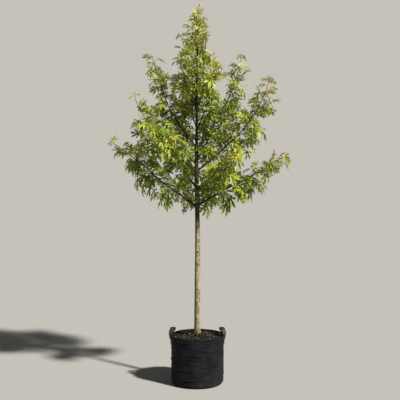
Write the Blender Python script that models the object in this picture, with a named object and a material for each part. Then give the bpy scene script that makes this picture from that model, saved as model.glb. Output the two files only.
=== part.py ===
"""A young feathered silver maple standing in a round black woven planter with two webbing handles.

Run it with: blender --background --python part.py
Metres, +Z up. The origin is the centre of the planter's flat underside.
X is left to right, Y is front to back.
"""

import math

import bmesh
import bpy
from mathutils import Matrix, Vector, noise

# ---------------------------------------------------------------- planter
POT_RADIUS = 0.225
POT_HEIGHT = 0.410
POT_FOOT_RADIUS = 0.196      # flat underside, inside the rounded lower edge
POT_TAPER = 0.022            # how much narrower the planter is at its foot, as a share of its radius
POT_WALL = 0.0045
POT_SEGMENTS = 44
GAP = 0.0005                 # clearance between pieces that touch

# ---------------------------------------------------------------- soil
SOIL_EDGE = 0.392            # height of the soil at the wall
SOIL_TOP = 0.420             # top of the mound round the stem
MOUND_REACH = 0.075

# ---------------------------------------------------------------- handles
STRAP_WIDTH = 0.040
STRAP_THICK = 0.003
HANDLE_TURN = math.radians(8)   # both handles sit a little behind the middle
# one leg, from its sewn end to the top of the loop:
# (distance from the pot's axis, angle along the wall in degrees, height, twist in degrees)
HANDLE_LEG = (
    (POT_RADIUS + 0.0022, 15.0, 0.328, 0),
    (POT_RADIUS + 0.0022, 15.0, 0.356, 0),
    (POT_RADIUS + 0.0075, 15.0, 0.384, 13),
    (POT_RADIUS + 0.0098, 15.0, 0.4120, 21),
    (POT_RADIUS + 0.0040, 14.2, 0.4260, 50),
    (POT_RADIUS - 0.0030, 12.4, 0.4400, 74),
    (POT_RADIUS - 0.0095, 9.6, 0.4525, 86),
    (POT_RADIUS - 0.0135, 5.2, 0.4605, 90),
    (POT_RADIUS - 0.0145, 0.0, 0.4630, 90),
)

# ---------------------------------------------------------------- stem
STEM_TIP = 3.165
STEM_SIDES = 12
# (height, radius) of the stem above its flare
STEM_RADII = (
    (0.42, 0.0262), (0.50, 0.0254), (1.00, 0.0228), (1.45, 0.0195), (1.80, 0.0165), (1.95, 0.0142),
    (2.12, 0.0112), (2.50, 0.0086), (2.90, 0.0058), (3.165, 0.0026),
)
FLARE, FLARE_HEIGHT = 0.0036, 0.030
# where the stem's middle line runs: (height, sideways place)
STEM_LINE = (
    (0.42, -0.002), (0.80, 0.000), (1.20, 0.002), (1.42, -0.001), (1.64, -0.004), (1.89, -0.008), (2.15, -0.006),
    (2.50, -0.007), (2.65, -0.003), (2.85, 0.000), (3.00, 0.002), (3.10, 0.006), (3.22, 0.016),
)
STEM_BOW = 0.006

# ---------------------------------------------------------------- boughs
# name: (height on the stem, compass angle from +X, reach, rise, first slope, last slope,
#        radius at the stem, share of the length that is bare,
#        leaf mass radius at its start, middle and end, droop below the bough)
BOUGHS = {
    "low_left": (1.490, 170.6, 0.735, 0.560, 33, 36, 0.0086, 0.22, 0.140, 0.130, 0.058, 0.50),
    "low_right": (1.500, -10.9, 0.738, 0.405, 30, 30, 0.0084, 0.22, 0.140, 0.124, 0.060, 0.50),
    "mid_right": (1.795, 10.8, 0.640, 0.790, 36, 72, 0.0082, 0.25, 0.135, 0.140, 0.048, 0.62),
    "mid_left": (1.785, -157.2, 0.545, 0.600, 40, 68, 0.0080, 0.25, 0.140, 0.132, 0.052, 0.24),
    "upper_left": (1.992, -164.6, 0.375, 0.765, 50, 80, 0.0072, 0.32, 0.100, 0.106, 0.050, 0.18),
    "upper_right": (1.985, 19.8, 0.413, 0.800, 50, 76, 0.0072, 0.32, 0.102, 0.100, 0.050, 0.42),
    "high_left": (2.310, 161.2, 0.160, 0.450, 66, 76, 0.0050, 0.22, 0.085, 0.092, 0.050, 0.14),
    "high_right": (2.330, -20.0, 0.176, 0.430, 68, 68, 0.0050, 0.22, 0.085, 0.095, 0.052, 0.14),
    "top_left": (2.600, 160.5, 0.140, 0.350, 50, 70, 0.0040, 0.26, 0.062, 0.072, 0.040, 0.10),
    "top_right": (2.620, -27.1, 0.095, 0.335, 55, 75, 0.0040, 0.26, 0.058, 0.068, 0.040, 0.10),
    "low_front": (1.640, -60.0, 0.620, 0.270, 28, 34, 0.0076, 0.20, 0.115, 0.128, 0.060, 0.34),
    "low_back": (1.640, 116.0, 0.680, 0.440, 34, 40, 0.0076, 0.20, 0.120, 0.130, 0.060, 0.38),
    "mid_front": (1.850, -132.0, 0.510, 0.300, 34, 46, 0.0066, 0.22, 0.105, 0.120, 0.060, 0.20),
    "mid_back": (1.890, 64.0, 0.530, 0.560, 40, 60, 0.0068, 0.20, 0.115, 0.120, 0.060, 0.25),
    "upper_front": (2.140, -60.0, 0.320, 0.470, 50, 70, 0.0056, 0.22, 0.098, 0.100, 0.052, 0.18),
    "upper_back": (2.140, 105.0, 0.340, 0.510, 50, 70, 0.0056, 0.22, 0.098, 0.100, 0.052, 0.18),
    "high_front": (2.460, -122.0, 0.165, 0.390, 55, 75, 0.0042, 0.26, 0.070, 0.076, 0.045, 0.12),
    "high_back": (2.460, 82.0, 0.175, 0.410, 55, 75, 0.0042, 0.26, 0.070, 0.076, 0.045, 0.12),
    "foot_right": (1.535, -46.0, 0.215, -0.010, 14, -22, 0.0040, 0.30, 0.062, 0.080, 0.050, 0.40),
    "foot_left": (1.535, 134.0, 0.215, -0.010, 14, -22, 0.0040, 0.30, 0.062, 0.080, 0.050, 0.40),
    "inner_right": (1.615, -26.0, 0.180, 0.020, 20, -10, 0.0038, 0.28, 0.076, 0.090, 0.052, 0.20),
    "inner_left": (1.615, 154.0, 0.190, 0.020, 20, -10, 0.0038, 0.28, 0.076, 0.090, 0.052, 0.20),
    "core_right": (1.885, 30.0, 0.150, 0.040, 30, 0, 0.0034, 0.30, 0.055, 0.066, 0.040, 0.20),
    "core_left": (1.885, 158.0, 0.150, 0.040, 30, 0, 0.0034, 0.30, 0.055, 0.066, 0.040, 0.20),
    "core_back": (1.930, 126.0, 0.270, 0.300, 44, 56, 0.0048, 0.26, 0.080, 0.092, 0.052, 0.18),
}
BOUGH_TIP_RADIUS = 0.0016
BOUGH_SIDES, BOUGH_RINGS = 7, 6
MASS_SIDES, MASS_RINGS = 10, 8
MASS_UNEVEN = 0.26
MASS_GAP = 0.006             # daylight kept between two leaf masses

# the leader: one mass round the top of the stem, (height, radius)
LEADER_RADII = (
    (2.850, 0.040), (2.900, 0.072), (2.960, 0.086), (3.020, 0.082), (3.080, 0.070),
    (3.135, 0.050), (3.180, 0.026),
)
LEADER_TOP = 3.222

BARK = (0.34, 0.29, 0.18)
TWIG = (0.10, 0.065, 0.045)
LEAF_TONES = ((0.060, 0.110, 0.020), (0.085, 0.140, 0.026), (0.120, 0.180, 0.040))
BLACK_WEAVE = (0.012, 0.012, 0.013)
WEBBING = (0.045, 0.050, 0.050)
COMPOST = (0.040, 0.030, 0.022)


# ================================================================ helpers
def clear_scene():
    for obj in list(bpy.data.objects):
        bpy.data.objects.remove(obj, do_unlink=True)


def material(name, colour, roughness, metallic=0.0):
    mat = bpy.data.materials.new(name)
    mat.use_nodes = True
    shader = mat.node_tree.nodes["Principled BSDF"]
    shader.inputs["Base Color"].default_value = (*colour, 1.0)
    shader.inputs["Roughness"].default_value = roughness
    shader.inputs["Metallic"].default_value = metallic
    return mat


def add_object(name, bm, mat, parent, smooth_angle=None):
    """The bmesh as a named object, with its faces turned outwards."""
    bmesh.ops.recalc_face_normals(bm, faces=bm.faces)
    mesh = bpy.data.meshes.new(name)
    bm.to_mesh(mesh)
    bm.free()
    mesh.materials.append(mat)
    if smooth_angle is not None:
        mesh.shade_smooth()
        mesh.set_sharp_from_angle(angle=math.radians(smooth_angle))
    obj = bpy.data.objects.new(name, mesh)
    bpy.context.scene.collection.objects.link(obj)
    obj.parent = parent
    return obj


def between(table, x):
    """Smooth value at x of a table of (x, value)."""
    if x <= table[0][0]:
        return table[0][1]
    for (x0, v0), (x1, v1) in zip(table, table[1:]):
        if x <= x1:
            return v0 + (v1 - v0) * (x - x0) / (x1 - x0)
    return table[-1][1]


def skin_rings(bm, rings, start_point=None, end_point=None):
    """Quads between rings of points, each end closed by a fan to a point or by its own middle."""
    loops = [[bm.verts.new(p) for p in ring] for ring in rings]
    for a, b in zip(loops, loops[1:]):
        n = len(a)
        for i in range(n):
            bm.faces.new((a[i], a[(i + 1) % n], b[(i + 1) % n], b[i]))
    for loop, point in ((loops[0], start_point), (loops[-1], end_point)):
        if point is None:
            bm.faces.new(loop)
        else:
            tip = bm.verts.new(point)
            n = len(loop)
            for i in range(n):
                bm.faces.new((loop[i], loop[(i + 1) % n], tip))


def tapered(profile):
    """The profile drawn in towards its foot, as a filled bag stands."""
    return [(r * (1 - POT_TAPER * (1 - min(z / POT_HEIGHT, 1.0))), z) for r, z in profile]


def turned(name, profile, segments, mat, parent):
    """A closed turned shape from (radius, height) pairs that start and end on the axis."""
    bm = bmesh.new()
    rings = [
        [
            (r * math.cos(2 * math.pi * i / segments), r * math.sin(2 * math.pi * i / segments), z)
            for i in range(segments)
        ]
        for r, z in profile[1:-1]
    ]
    skin_rings(bm, rings, (0, 0, profile[0][1]), (0, 0, profile[-1][1]))
    return add_object(name, bm, mat, parent, 35)


# ================================================================ the planter
def pot_profile():
    """Outer underside, rounded lower edge, wall, rim, inner wall and floor."""
    edge = POT_RADIUS - POT_FOOT_RADIUS
    steps = 4
    outer = [(0, 0), (POT_FOOT_RADIUS, 0)]
    for i in range(1, steps + 1):
        a = math.pi / 2 * i / steps
        outer.append((POT_FOOT_RADIUS + edge * math.sin(a), edge * (1 - math.cos(a))))
    outer += [(POT_RADIUS, POT_HEIGHT * 0.55), (POT_RADIUS, POT_HEIGHT)]
    inner_edge = edge - POT_WALL
    inner = [(POT_RADIUS - POT_WALL, POT_HEIGHT), (POT_RADIUS - POT_WALL, edge)]
    for i in range(1, 3):
        a = math.pi / 2 * i / 2
        inner.append(
            (POT_RADIUS - POT_WALL - inner_edge * (1 - math.cos(a)), edge - inner_edge * math.sin(a))
        )
    return outer + inner + [(0, POT_WALL)]


def soil_profile():
    """A plug that fills the planter, with a low mound round a flat seat for the stem."""
    inner = POT_RADIUS - POT_WALL - GAP
    edge = POT_RADIUS - POT_FOOT_RADIUS
    bend = edge - POT_WALL
    floor = POT_WALL + GAP
    profile = [(0, floor)]
    for i in (2, 1):
        a = math.pi / 2 * i / 2
        profile.append((inner - bend * (1 - math.cos(a)) - GAP, edge - bend * math.sin(a) + 2 * GAP))
    profile[1] = (profile[1][0], floor)
    profile += [(inner, edge + 2 * GAP), (inner, SOIL_EDGE)]
    for r in (0.19, 0.155, 0.120, 0.092, 0.070, 0.052):
        profile.append((r, soil_height(r)))
    profile += [(0.042, SOIL_TOP), (0, SOIL_TOP)]
    return profile


def soil_height(r):
    t = max(0.0, r - 0.042) / MOUND_REACH
    return SOIL_EDGE + (SOIL_TOP - SOIL_EDGE) * math.exp(-t * t * 1.4)


def handle(name, side, mat, parent):
    """A webbing loop: sewn flat to the wall at both ends, twisted edge-on over the top."""
    legs = [(d, -a, z, -tw) for d, a, z, tw in HANDLE_LEG]
    path = legs + [(d, a, z, -tw) for d, a, z, tw in reversed(HANDLE_LEG[:-1])]
    points, radials = [], []
    for d, a, z, _ in path:
        ang = math.radians(a)
        radial = Vector((math.cos(ang), math.sin(ang), 0))
        points.append(radial * d + Vector((0, 0, z)))
        radials.append(radial)
    rings = []
    for i, (_, _, _, twist) in enumerate(path):
        ahead = points[min(i + 1, len(points) - 1)] - points[max(i - 1, 0)]
        ahead.normalize()
        normal = (radials[i] - ahead * radials[i].dot(ahead)).normalized()
        normal = Matrix.Rotation(math.radians(twist), 3, ahead) @ normal
        across = ahead.cross(normal)
        w, t = across * STRAP_WIDTH / 2, normal * STRAP_THICK / 2
        rings.append([points[i] + w + t, points[i] - w + t, points[i] - w - t, points[i] + w - t])
    bm = bmesh.new()
    skin_rings(bm, rings)
    obj = add_object(name, bm, mat, parent, 40)
    obj.rotation_euler = (0, 0, math.pi - HANDLE_TURN if side < 0 else HANDLE_TURN)
    return obj


# ================================================================ the stem
def stem_axis(z):
    """The stem stands straight, bows a little to the left inside the crown, and its leader leans right."""
    x = (between(STEM_LINE, z - 0.06) + between(STEM_LINE, z) + between(STEM_LINE, z + 0.06)) / 3
    y = STEM_BOW * math.sin(1.6 * math.pi * (z - SOIL_TOP) / (2.85 - SOIL_TOP))
    return Vector((x, y, z))


def stem_radius(z):
    return between(STEM_RADII, z) + FLARE * math.exp(-(z - SOIL_TOP) / FLARE_HEIGHT)


def ring_at(centre, radius, sides, u, v, turn=0.0):
    return [
        centre
        + u * radius * math.cos(2 * math.pi * i / sides + turn)
        + v * radius * math.sin(2 * math.pi * i / sides + turn)
        for i in range(sides)
    ]


def stem_heights():
    base = SOIL_TOP + GAP
    low = [base, base + 0.012, base + 0.030, base + 0.060, base + 0.12]
    count = 20
    return low + [base + 0.12 + (STEM_TIP - base - 0.12) * i / count for i in range(1, count + 1)]


def build_stem(mat, parent):
    bm = bmesh.new()
    rings = [
        ring_at(stem_axis(z), stem_radius(z), STEM_SIDES, Vector((1, 0, 0)), Vector((0, 1, 0)))
        for z in stem_heights()
    ]
    skin_rings(bm, rings)
    return add_object("stem", bm, mat, parent, 50)


# ================================================================ the boughs
def bough_point(spec, t):
    """A point of the bough's line: a cubic that leaves at the first slope and ends at the last."""
    z0, compass, reach, rise, first, last = spec[:6]
    a = math.radians(compass)
    arm = 0.36 * math.hypot(reach, rise)
    s0, s1 = math.radians(first), math.radians(last)
    p = (
        (0.0, 0.0),
        (arm * math.cos(s0), arm * math.sin(s0)),
        (reach - arm * math.cos(s1), rise - arm * math.sin(s1)),
        (reach, rise),
    )
    k = ((1 - t) ** 3, 3 * t * (1 - t) ** 2, 3 * t * t * (1 - t), t**3)
    out = sum(w * q[0] for w, q in zip(k, p))
    up = sum(w * q[1] for w, q in zip(k, p))
    root = stem_axis(z0)
    return root + Vector((out * math.cos(a), out * math.sin(a), up))


def bough_frame(spec, t):
    """Centre, direction, sideways and upward unit vectors at t."""
    step = 0.004
    ahead = bough_point(spec, min(t + step, 1.0)) - bough_point(spec, max(t - step, 0.0))
    ahead.normalize()
    side = Vector((0, 0, 1)).cross(ahead).normalized()
    return bough_point(spec, t), ahead, side, ahead.cross(side)


def bough_radius(spec, t):
    return BOUGH_TIP_RADIUS + (spec[6] - BOUGH_TIP_RADIUS) * (1 - t) ** 0.85


def build_bough(name, spec, mat, parent):
    """One tapering limb from the stem's bark to the place where the leaves begin."""
    end = spec[7]
    z0 = spec[0]
    stem_r = stem_radius(z0)
    start = 0.0
    while (bough_point(spec, start) - stem_axis(z0)).xy.length < stem_r + 0.012:
        start += 0.002
    rings = []
    for i in range(BOUGH_RINGS):
        t = start + (end - start) * i / (BOUGH_RINGS - 1)
        centre, ahead, side, up = bough_frame(spec, t)
        rings.append(ring_at(centre, bough_radius(spec, t), BOUGH_SIDES, side, up))
    centre, ahead, side, up = bough_frame(spec, start)
    collar = ring_at(centre, bough_radius(spec, start) * 1.18, BOUGH_SIDES, side, up)
    foot = [onto_bark(p, -ahead) for p in collar]
    bm = bmesh.new()
    skin_rings(bm, [foot] + rings, onto_bark(centre, -ahead, 0.0016), rings_middle(rings[-1]))
    return add_object("bough_" + name, bm, mat, parent, 50)


def rings_middle(ring):
    return sum(ring, Vector()) / len(ring)


def onto_bark(point, direction, clear=GAP):
    """Slides a point along a direction until it is this far off the stem."""
    for i in range(400):
        p = point + direction * 0.0002 * i
        axis = stem_axis(p.z)
        if (p - axis).xy.length <= stem_radius(p.z) + clear:
            return point + direction * 0.0002 * max(i - 1, 0)
    return point


# ================================================================ the leaf masses
def mass_radius(spec, u):
    """Radius of the leaf mass, u from 0 at the bough's end to 1 at the tip."""
    start, middle, end = spec[8:11]
    body = start + (middle - start) * u / 0.5 if u < 0.5 else middle + (end - middle) * (u - 0.5) / 0.5
    return body


def droop(spec, u):
    """How far the leaves hang below the bough's own line: most near their start, least at the tip."""
    return spec[11] * mass_radius(spec, u) * min(1.0, u * 5) * (1.15 - 0.75 * u)


def territories():
    """Every line that leaves gather round or stay clear of: (key, points, radii)."""
    lines = []
    for name, spec in BOUGHS.items():
        bare = spec[7]
        ts = [bare + (1 - bare) * i / 14 for i in range(15)]
        pts, rad = [], []
        for t in ts:
            u = (t - bare) / (1 - bare)
            r = mass_radius(spec, u)
            pts.append(bough_point(spec, t) - Vector((0, 0, droop(spec, u))))
            rad.append(r)
        lines.append((name, pts, rad))
        ts = [bare * i / 6 for i in range(7)]
        lines.append(("bare_" + name, [bough_point(spec, t) for t in ts], [0.022] * 7))
    hs = [1.30 + (2.84 - 1.30) * i / 30 for i in range(31)]
    lines.append(("stem", [stem_axis(z) for z in hs], [0.036] * len(hs)))
    hs = [2.86 + (LEADER_TOP - 2.86) * i / 10 for i in range(11)]
    lines.append(("leader", [stem_axis(z) for z in hs], [max(between(LEADER_RADII, z), 0.03) for z in hs]))
    return lines


def share_of(point, pts, rad):
    """How far out the point is in a territory: 0 on its line and 1 on its rim."""
    best = 1e9
    for a, b, ra, rb in zip(pts, pts[1:], rad, rad[1:]):
        ab = b - a
        k = min(max((point - a).dot(ab) / ab.length_squared, 0.0), 1.0)
        d = (point - (a + ab * k)).length - MASS_GAP
        best = min(best, d / (ra + (rb - ra) * k))
    return best


def limited(key, centre, direction, wanted, own, lines):
    """The wanted distance from the centre, or less where another territory begins."""
    steps = 30
    for i in range(steps):
        r = wanted * (1 - i / steps)
        p = centre + direction * r
        mine = (r + MASS_GAP) / own
        if all(share_of(p, pts, rad) > mine for k, pts, rad in lines if k not in key):
            return r
    return wanted / steps


def build_mass(name, spec, seed, lines, mat, parent):
    """An uneven plume of leaves round the outer part of a bough, hanging a little below it."""
    bare = spec[7]
    end_cap = bough_frame(spec, bare)
    shift = Vector((7.3 * seed, 3.1 * seed, 1.7 * seed))
    keep_own = (name, "bare_" + name)
    tip_stretch = 1.0
    rings = []
    for i in range(MASS_RINGS):
        u = i / (MASS_RINGS - 1)
        t = bare + (1 - bare) * u * tip_stretch
        centre, ahead, side, up = bough_frame(spec, t)
        own = mass_radius(spec, u)
        swell = (0.40, 0.82, 1.0, 1.0, 1.0, 0.95, 0.80, 0.45)[i]
        drop = Vector((0, 0, -droop(spec, u)))
        if i == 0:
            centre = centre + ahead * GAP * 1.4
        ring = []
        for j in range(MASS_SIDES):
            a = 2 * math.pi * j / MASS_SIDES
            out = side * math.cos(a) + up * math.sin(a)
            if i > 0:
                out = out + ahead * 0.10 * math.sin(3 * a + seed)
                out.normalize()
            lump = noise.noise((centre + out * own) * 9.0 + shift)
            wanted = own * swell * (1 + MASS_UNEVEN * 2.0 * lump)
            wanted = limited(keep_own, centre + drop, out, wanted, own, lines)
            ring.append(centre + drop + out * wanted)
        rings.append(ring)
    tip_centre, ahead, _, _ = bough_frame(spec, 1.0)
    tip = tip_centre + ahead * mass_radius(spec, 1.0) * 0.35 - Vector((0, 0, droop(spec, 1.0)))
    bm = bmesh.new()
    skin_rings(bm, rings, rings_middle(rings[0]), tip)
    return add_object("leaves_" + name, bm, mat, parent)


def build_leader(lines, mat, parent):
    """The leaves round the top of the stem, cut round the stem itself."""
    shift = Vector((11.0, 4.0, 2.0))
    rings = []
    for i, (z, own) in enumerate(LEADER_RADII):
        centre = stem_axis(z)
        ring = []
        for j in range(MASS_SIDES + 2):
            a = 2 * math.pi * j / (MASS_SIDES + 2)
            out = Vector((math.cos(a), math.sin(a), 0))
            lump = noise.noise((centre + out * own) * 12.0 + shift)
            wanted = own * (1 + MASS_UNEVEN * 1.8 * lump)
            wanted = max(limited(("leader", "stem"), centre, out, wanted, own, lines), 0.022)
            ring.append(centre + out * wanted)
        rings.append(ring)
    bm = bmesh.new()
    skin_rings(bm, rings, rings_middle(rings[0]), stem_axis(LEADER_TOP) + Vector((0.004, 0, 0)))
    obj = add_object("leaves_leader", bm, mat, parent)

    cut = bmesh.new()
    low, high = LEADER_RADII[0][0] - 0.05, STEM_TIP + 0.004
    heights = [low + (high - low) * i / 6 for i in range(7)]
    core = [
        ring_at(stem_axis(z), stem_radius(min(z, STEM_TIP)) + 0.0016, 8, Vector((1, 0, 0)), Vector((0, 1, 0)))
        for z in heights
    ]
    skin_rings(cut, core)
    cutter = add_object("stem_clearance", cut, mat, parent)
    cutter.hide_render = True
    cutter.display_type = "WIRE"
    boolean = obj.modifiers.new("stem_clearance", "BOOLEAN")
    boolean.operation = "DIFFERENCE"
    boolean.solver = "EXACT"
    boolean.object = cutter
    return obj


# ================================================================ assembly
def main():
    clear_scene()
    tree = bpy.data.objects.new("potted_silver_maple", None)
    bpy.context.scene.collection.objects.link(tree)

    weave = material("black_weave", BLACK_WEAVE, 0.62)
    webbing = material("webbing", WEBBING, 0.60)
    compost = material("compost", COMPOST, 0.95)
    bark = material("bark", BARK, 0.80)
    twig = material("twig_bark", TWIG, 0.65)
    leaves = [material(f"leaves_{i}", c, 0.55) for i, c in enumerate(LEAF_TONES)]

    turned("pot", tapered(pot_profile()), POT_SEGMENTS, weave, tree)
    turned("soil", tapered(soil_profile()), POT_SEGMENTS, compost, tree)
    handle("handle_left", -1, webbing, tree)
    handle("handle_right", 1, webbing, tree)

    build_stem(bark, tree)
    lines = territories()
    for i, (name, spec) in enumerate(BOUGHS.items()):
        build_bough(name, spec, twig, tree)
        build_mass(name, spec, i + 1, lines, leaves[i % 3], tree)
    build_leader(lines, leaves[2], tree)


main()
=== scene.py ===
"""The looks of the potted silver maple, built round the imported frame.

The stem and boughs get a bark mesh, each leaf mass is replaced by twigs, petioles and deeply cut leaves that grow on
from the boughs by a seeded rule, and the planter, its handles and the compost get their own detailed meshes.
Metres, +Z up, in the frame's own coordinates.
"""

import math
import random

import bpy
import numpy as np
from mathutils import Matrix, Vector, noise
from mathutils.bvhtree import BVHTree


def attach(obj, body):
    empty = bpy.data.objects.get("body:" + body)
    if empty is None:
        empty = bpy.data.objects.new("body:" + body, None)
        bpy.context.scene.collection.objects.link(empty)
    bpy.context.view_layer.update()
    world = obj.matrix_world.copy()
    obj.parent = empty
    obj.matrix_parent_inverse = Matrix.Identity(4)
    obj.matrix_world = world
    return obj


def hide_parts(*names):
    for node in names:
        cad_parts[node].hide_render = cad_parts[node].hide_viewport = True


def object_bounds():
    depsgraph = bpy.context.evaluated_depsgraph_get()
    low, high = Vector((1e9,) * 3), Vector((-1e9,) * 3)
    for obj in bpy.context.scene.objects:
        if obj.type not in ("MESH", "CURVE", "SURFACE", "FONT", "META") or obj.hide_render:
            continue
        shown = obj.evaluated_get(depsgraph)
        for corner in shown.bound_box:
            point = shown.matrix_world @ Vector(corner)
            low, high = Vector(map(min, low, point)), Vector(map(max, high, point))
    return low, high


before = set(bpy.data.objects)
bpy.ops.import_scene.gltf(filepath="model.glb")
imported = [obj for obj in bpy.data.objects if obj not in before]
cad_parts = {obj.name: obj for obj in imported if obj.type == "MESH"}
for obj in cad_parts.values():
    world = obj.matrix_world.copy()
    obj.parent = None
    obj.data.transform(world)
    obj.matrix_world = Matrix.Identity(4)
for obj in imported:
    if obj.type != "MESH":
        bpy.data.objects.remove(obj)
cad_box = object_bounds()
RNG = random.Random(41)

# ================================================================ named sizes, as in the CAD
POT_RADIUS, POT_HEIGHT, POT_FOOT_RADIUS, POT_TAPER = 0.225, 0.410, 0.196, 0.022
HEM_DEPTH = 0.042
SOIL_EDGE, SOIL_TOP, MOUND_REACH = 0.392, 0.420, 0.075
STRAP_WIDTH, STRAP_THICK = 0.040, 0.0026
HANDLE_TURN = math.radians(8)
HANDLE_LEG = (
    (POT_RADIUS + 0.0022, 15.0, 0.328, 0),
    (POT_RADIUS + 0.0022, 15.0, 0.356, 0),
    (POT_RADIUS + 0.0075, 15.0, 0.384, 13),
    (POT_RADIUS + 0.0098, 15.0, 0.4120, 21),
    (POT_RADIUS + 0.0040, 14.2, 0.4260, 50),
    (POT_RADIUS - 0.0030, 12.4, 0.4400, 74),
    (POT_RADIUS - 0.0095, 9.6, 0.4525, 86),
    (POT_RADIUS - 0.0135, 5.2, 0.4605, 90),
    (POT_RADIUS - 0.0145, 0.0, 0.4630, 90),
)
STEM_TIP = 3.165
STEM_RADII = (
    (0.42, 0.0262), (0.50, 0.0254), (1.00, 0.0228), (1.45, 0.0195), (1.80, 0.0165), (1.95, 0.0142),
    (2.12, 0.0112), (2.50, 0.0086), (2.90, 0.0058), (3.165, 0.0026),
)
FLARE, FLARE_HEIGHT = 0.0036, 0.030
STEM_LINE = (
    (0.42, -0.002), (0.80, 0.000), (1.20, 0.002), (1.42, -0.001), (1.64, -0.004), (1.89, -0.008), (2.15, -0.006),
    (2.50, -0.007), (2.65, -0.003), (2.85, 0.000), (3.00, 0.002), (3.10, 0.006), (3.22, 0.016),
)
STEM_BOW = 0.006
# height on the stem, compass angle, reach, rise, first slope, last slope, radius at the stem,
# bare share, leaf radius at start, middle and end, droop
BOUGHS = {
    "low_left": (1.490, 170.6, 0.735, 0.560, 33, 36, 0.0086, 0.22, 0.140, 0.130, 0.058, 0.50),
    "low_right": (1.500, -10.9, 0.738, 0.405, 30, 30, 0.0084, 0.22, 0.140, 0.124, 0.060, 0.50),
    "mid_right": (1.795, 10.8, 0.640, 0.790, 36, 72, 0.0082, 0.25, 0.135, 0.140, 0.048, 0.62),
    "mid_left": (1.785, -157.2, 0.545, 0.600, 40, 68, 0.0080, 0.25, 0.140, 0.132, 0.052, 0.24),
    "upper_left": (1.992, -164.6, 0.375, 0.765, 50, 80, 0.0072, 0.32, 0.100, 0.106, 0.050, 0.18),
    "upper_right": (1.985, 19.8, 0.413, 0.800, 50, 76, 0.0072, 0.32, 0.102, 0.100, 0.050, 0.42),
    "high_left": (2.310, 161.2, 0.160, 0.450, 66, 76, 0.0050, 0.22, 0.085, 0.092, 0.050, 0.14),
    "high_right": (2.330, -20.0, 0.176, 0.430, 68, 68, 0.0050, 0.22, 0.085, 0.095, 0.052, 0.14),
    "top_left": (2.600, 160.5, 0.140, 0.350, 50, 70, 0.0040, 0.26, 0.062, 0.072, 0.040, 0.10),
    "top_right": (2.620, -27.1, 0.095, 0.335, 55, 75, 0.0040, 0.26, 0.058, 0.068, 0.040, 0.10),
    "low_front": (1.640, -60.0, 0.620, 0.270, 28, 34, 0.0076, 0.20, 0.115, 0.128, 0.060, 0.34),
    "low_back": (1.640, 116.0, 0.680, 0.440, 34, 40, 0.0076, 0.20, 0.120, 0.130, 0.060, 0.38),
    "mid_front": (1.850, -132.0, 0.510, 0.300, 34, 46, 0.0066, 0.22, 0.105, 0.120, 0.060, 0.20),
    "mid_back": (1.890, 64.0, 0.530, 0.560, 40, 60, 0.0068, 0.20, 0.115, 0.120, 0.060, 0.25),
    "upper_front": (2.140, -60.0, 0.320, 0.470, 50, 70, 0.0056, 0.22, 0.098, 0.100, 0.052, 0.18),
    "upper_back": (2.140, 105.0, 0.340, 0.510, 50, 70, 0.0056, 0.22, 0.098, 0.100, 0.052, 0.18),
    "high_front": (2.460, -122.0, 0.165, 0.390, 55, 75, 0.0042, 0.26, 0.070, 0.076, 0.045, 0.12),
    "high_back": (2.460, 82.0, 0.175, 0.410, 55, 75, 0.0042, 0.26, 0.070, 0.076, 0.045, 0.12),
    "foot_right": (1.535, -46.0, 0.215, -0.010, 14, -22, 0.0040, 0.30, 0.062, 0.080, 0.050, 0.40),
    "foot_left": (1.535, 134.0, 0.215, -0.010, 14, -22, 0.0040, 0.30, 0.062, 0.080, 0.050, 0.40),
    "inner_right": (1.615, -26.0, 0.180, 0.020, 20, -10, 0.0038, 0.28, 0.076, 0.090, 0.052, 0.20),
    "inner_left": (1.615, 154.0, 0.190, 0.020, 20, -10, 0.0038, 0.28, 0.076, 0.090, 0.052, 0.20),
    "core_right": (1.885, 30.0, 0.150, 0.040, 30, 0, 0.0034, 0.30, 0.055, 0.066, 0.040, 0.20),
    "core_left": (1.885, 158.0, 0.150, 0.040, 30, 0, 0.0034, 0.30, 0.055, 0.066, 0.040, 0.20),
    "core_back": (1.930, 126.0, 0.270, 0.300, 44, 56, 0.0048, 0.26, 0.080, 0.092, 0.052, 0.18),
}
BOUGH_TIP_RADIUS = 0.0016


# ================================================================ camera, light and floor
VIEWPOINT = (0.022, -5.4, 1.55)


def add_object(name, data):
    obj = bpy.data.objects.new(name, data)
    bpy.context.scene.collection.objects.link(obj)
    return obj


def aim(obj, at):
    obj.rotation_euler = (Vector(at) - obj.location).to_track_quat("-Z", "Y").to_euler()


def area_light(name, place, at, size, power, colour):
    data = bpy.data.lights.new(name, "AREA")
    data.shape, data.size, data.energy, data.color = "DISK", size, power, colour
    obj = add_object(name, data)
    obj.location = place
    aim(obj, at)
    return obj


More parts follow.
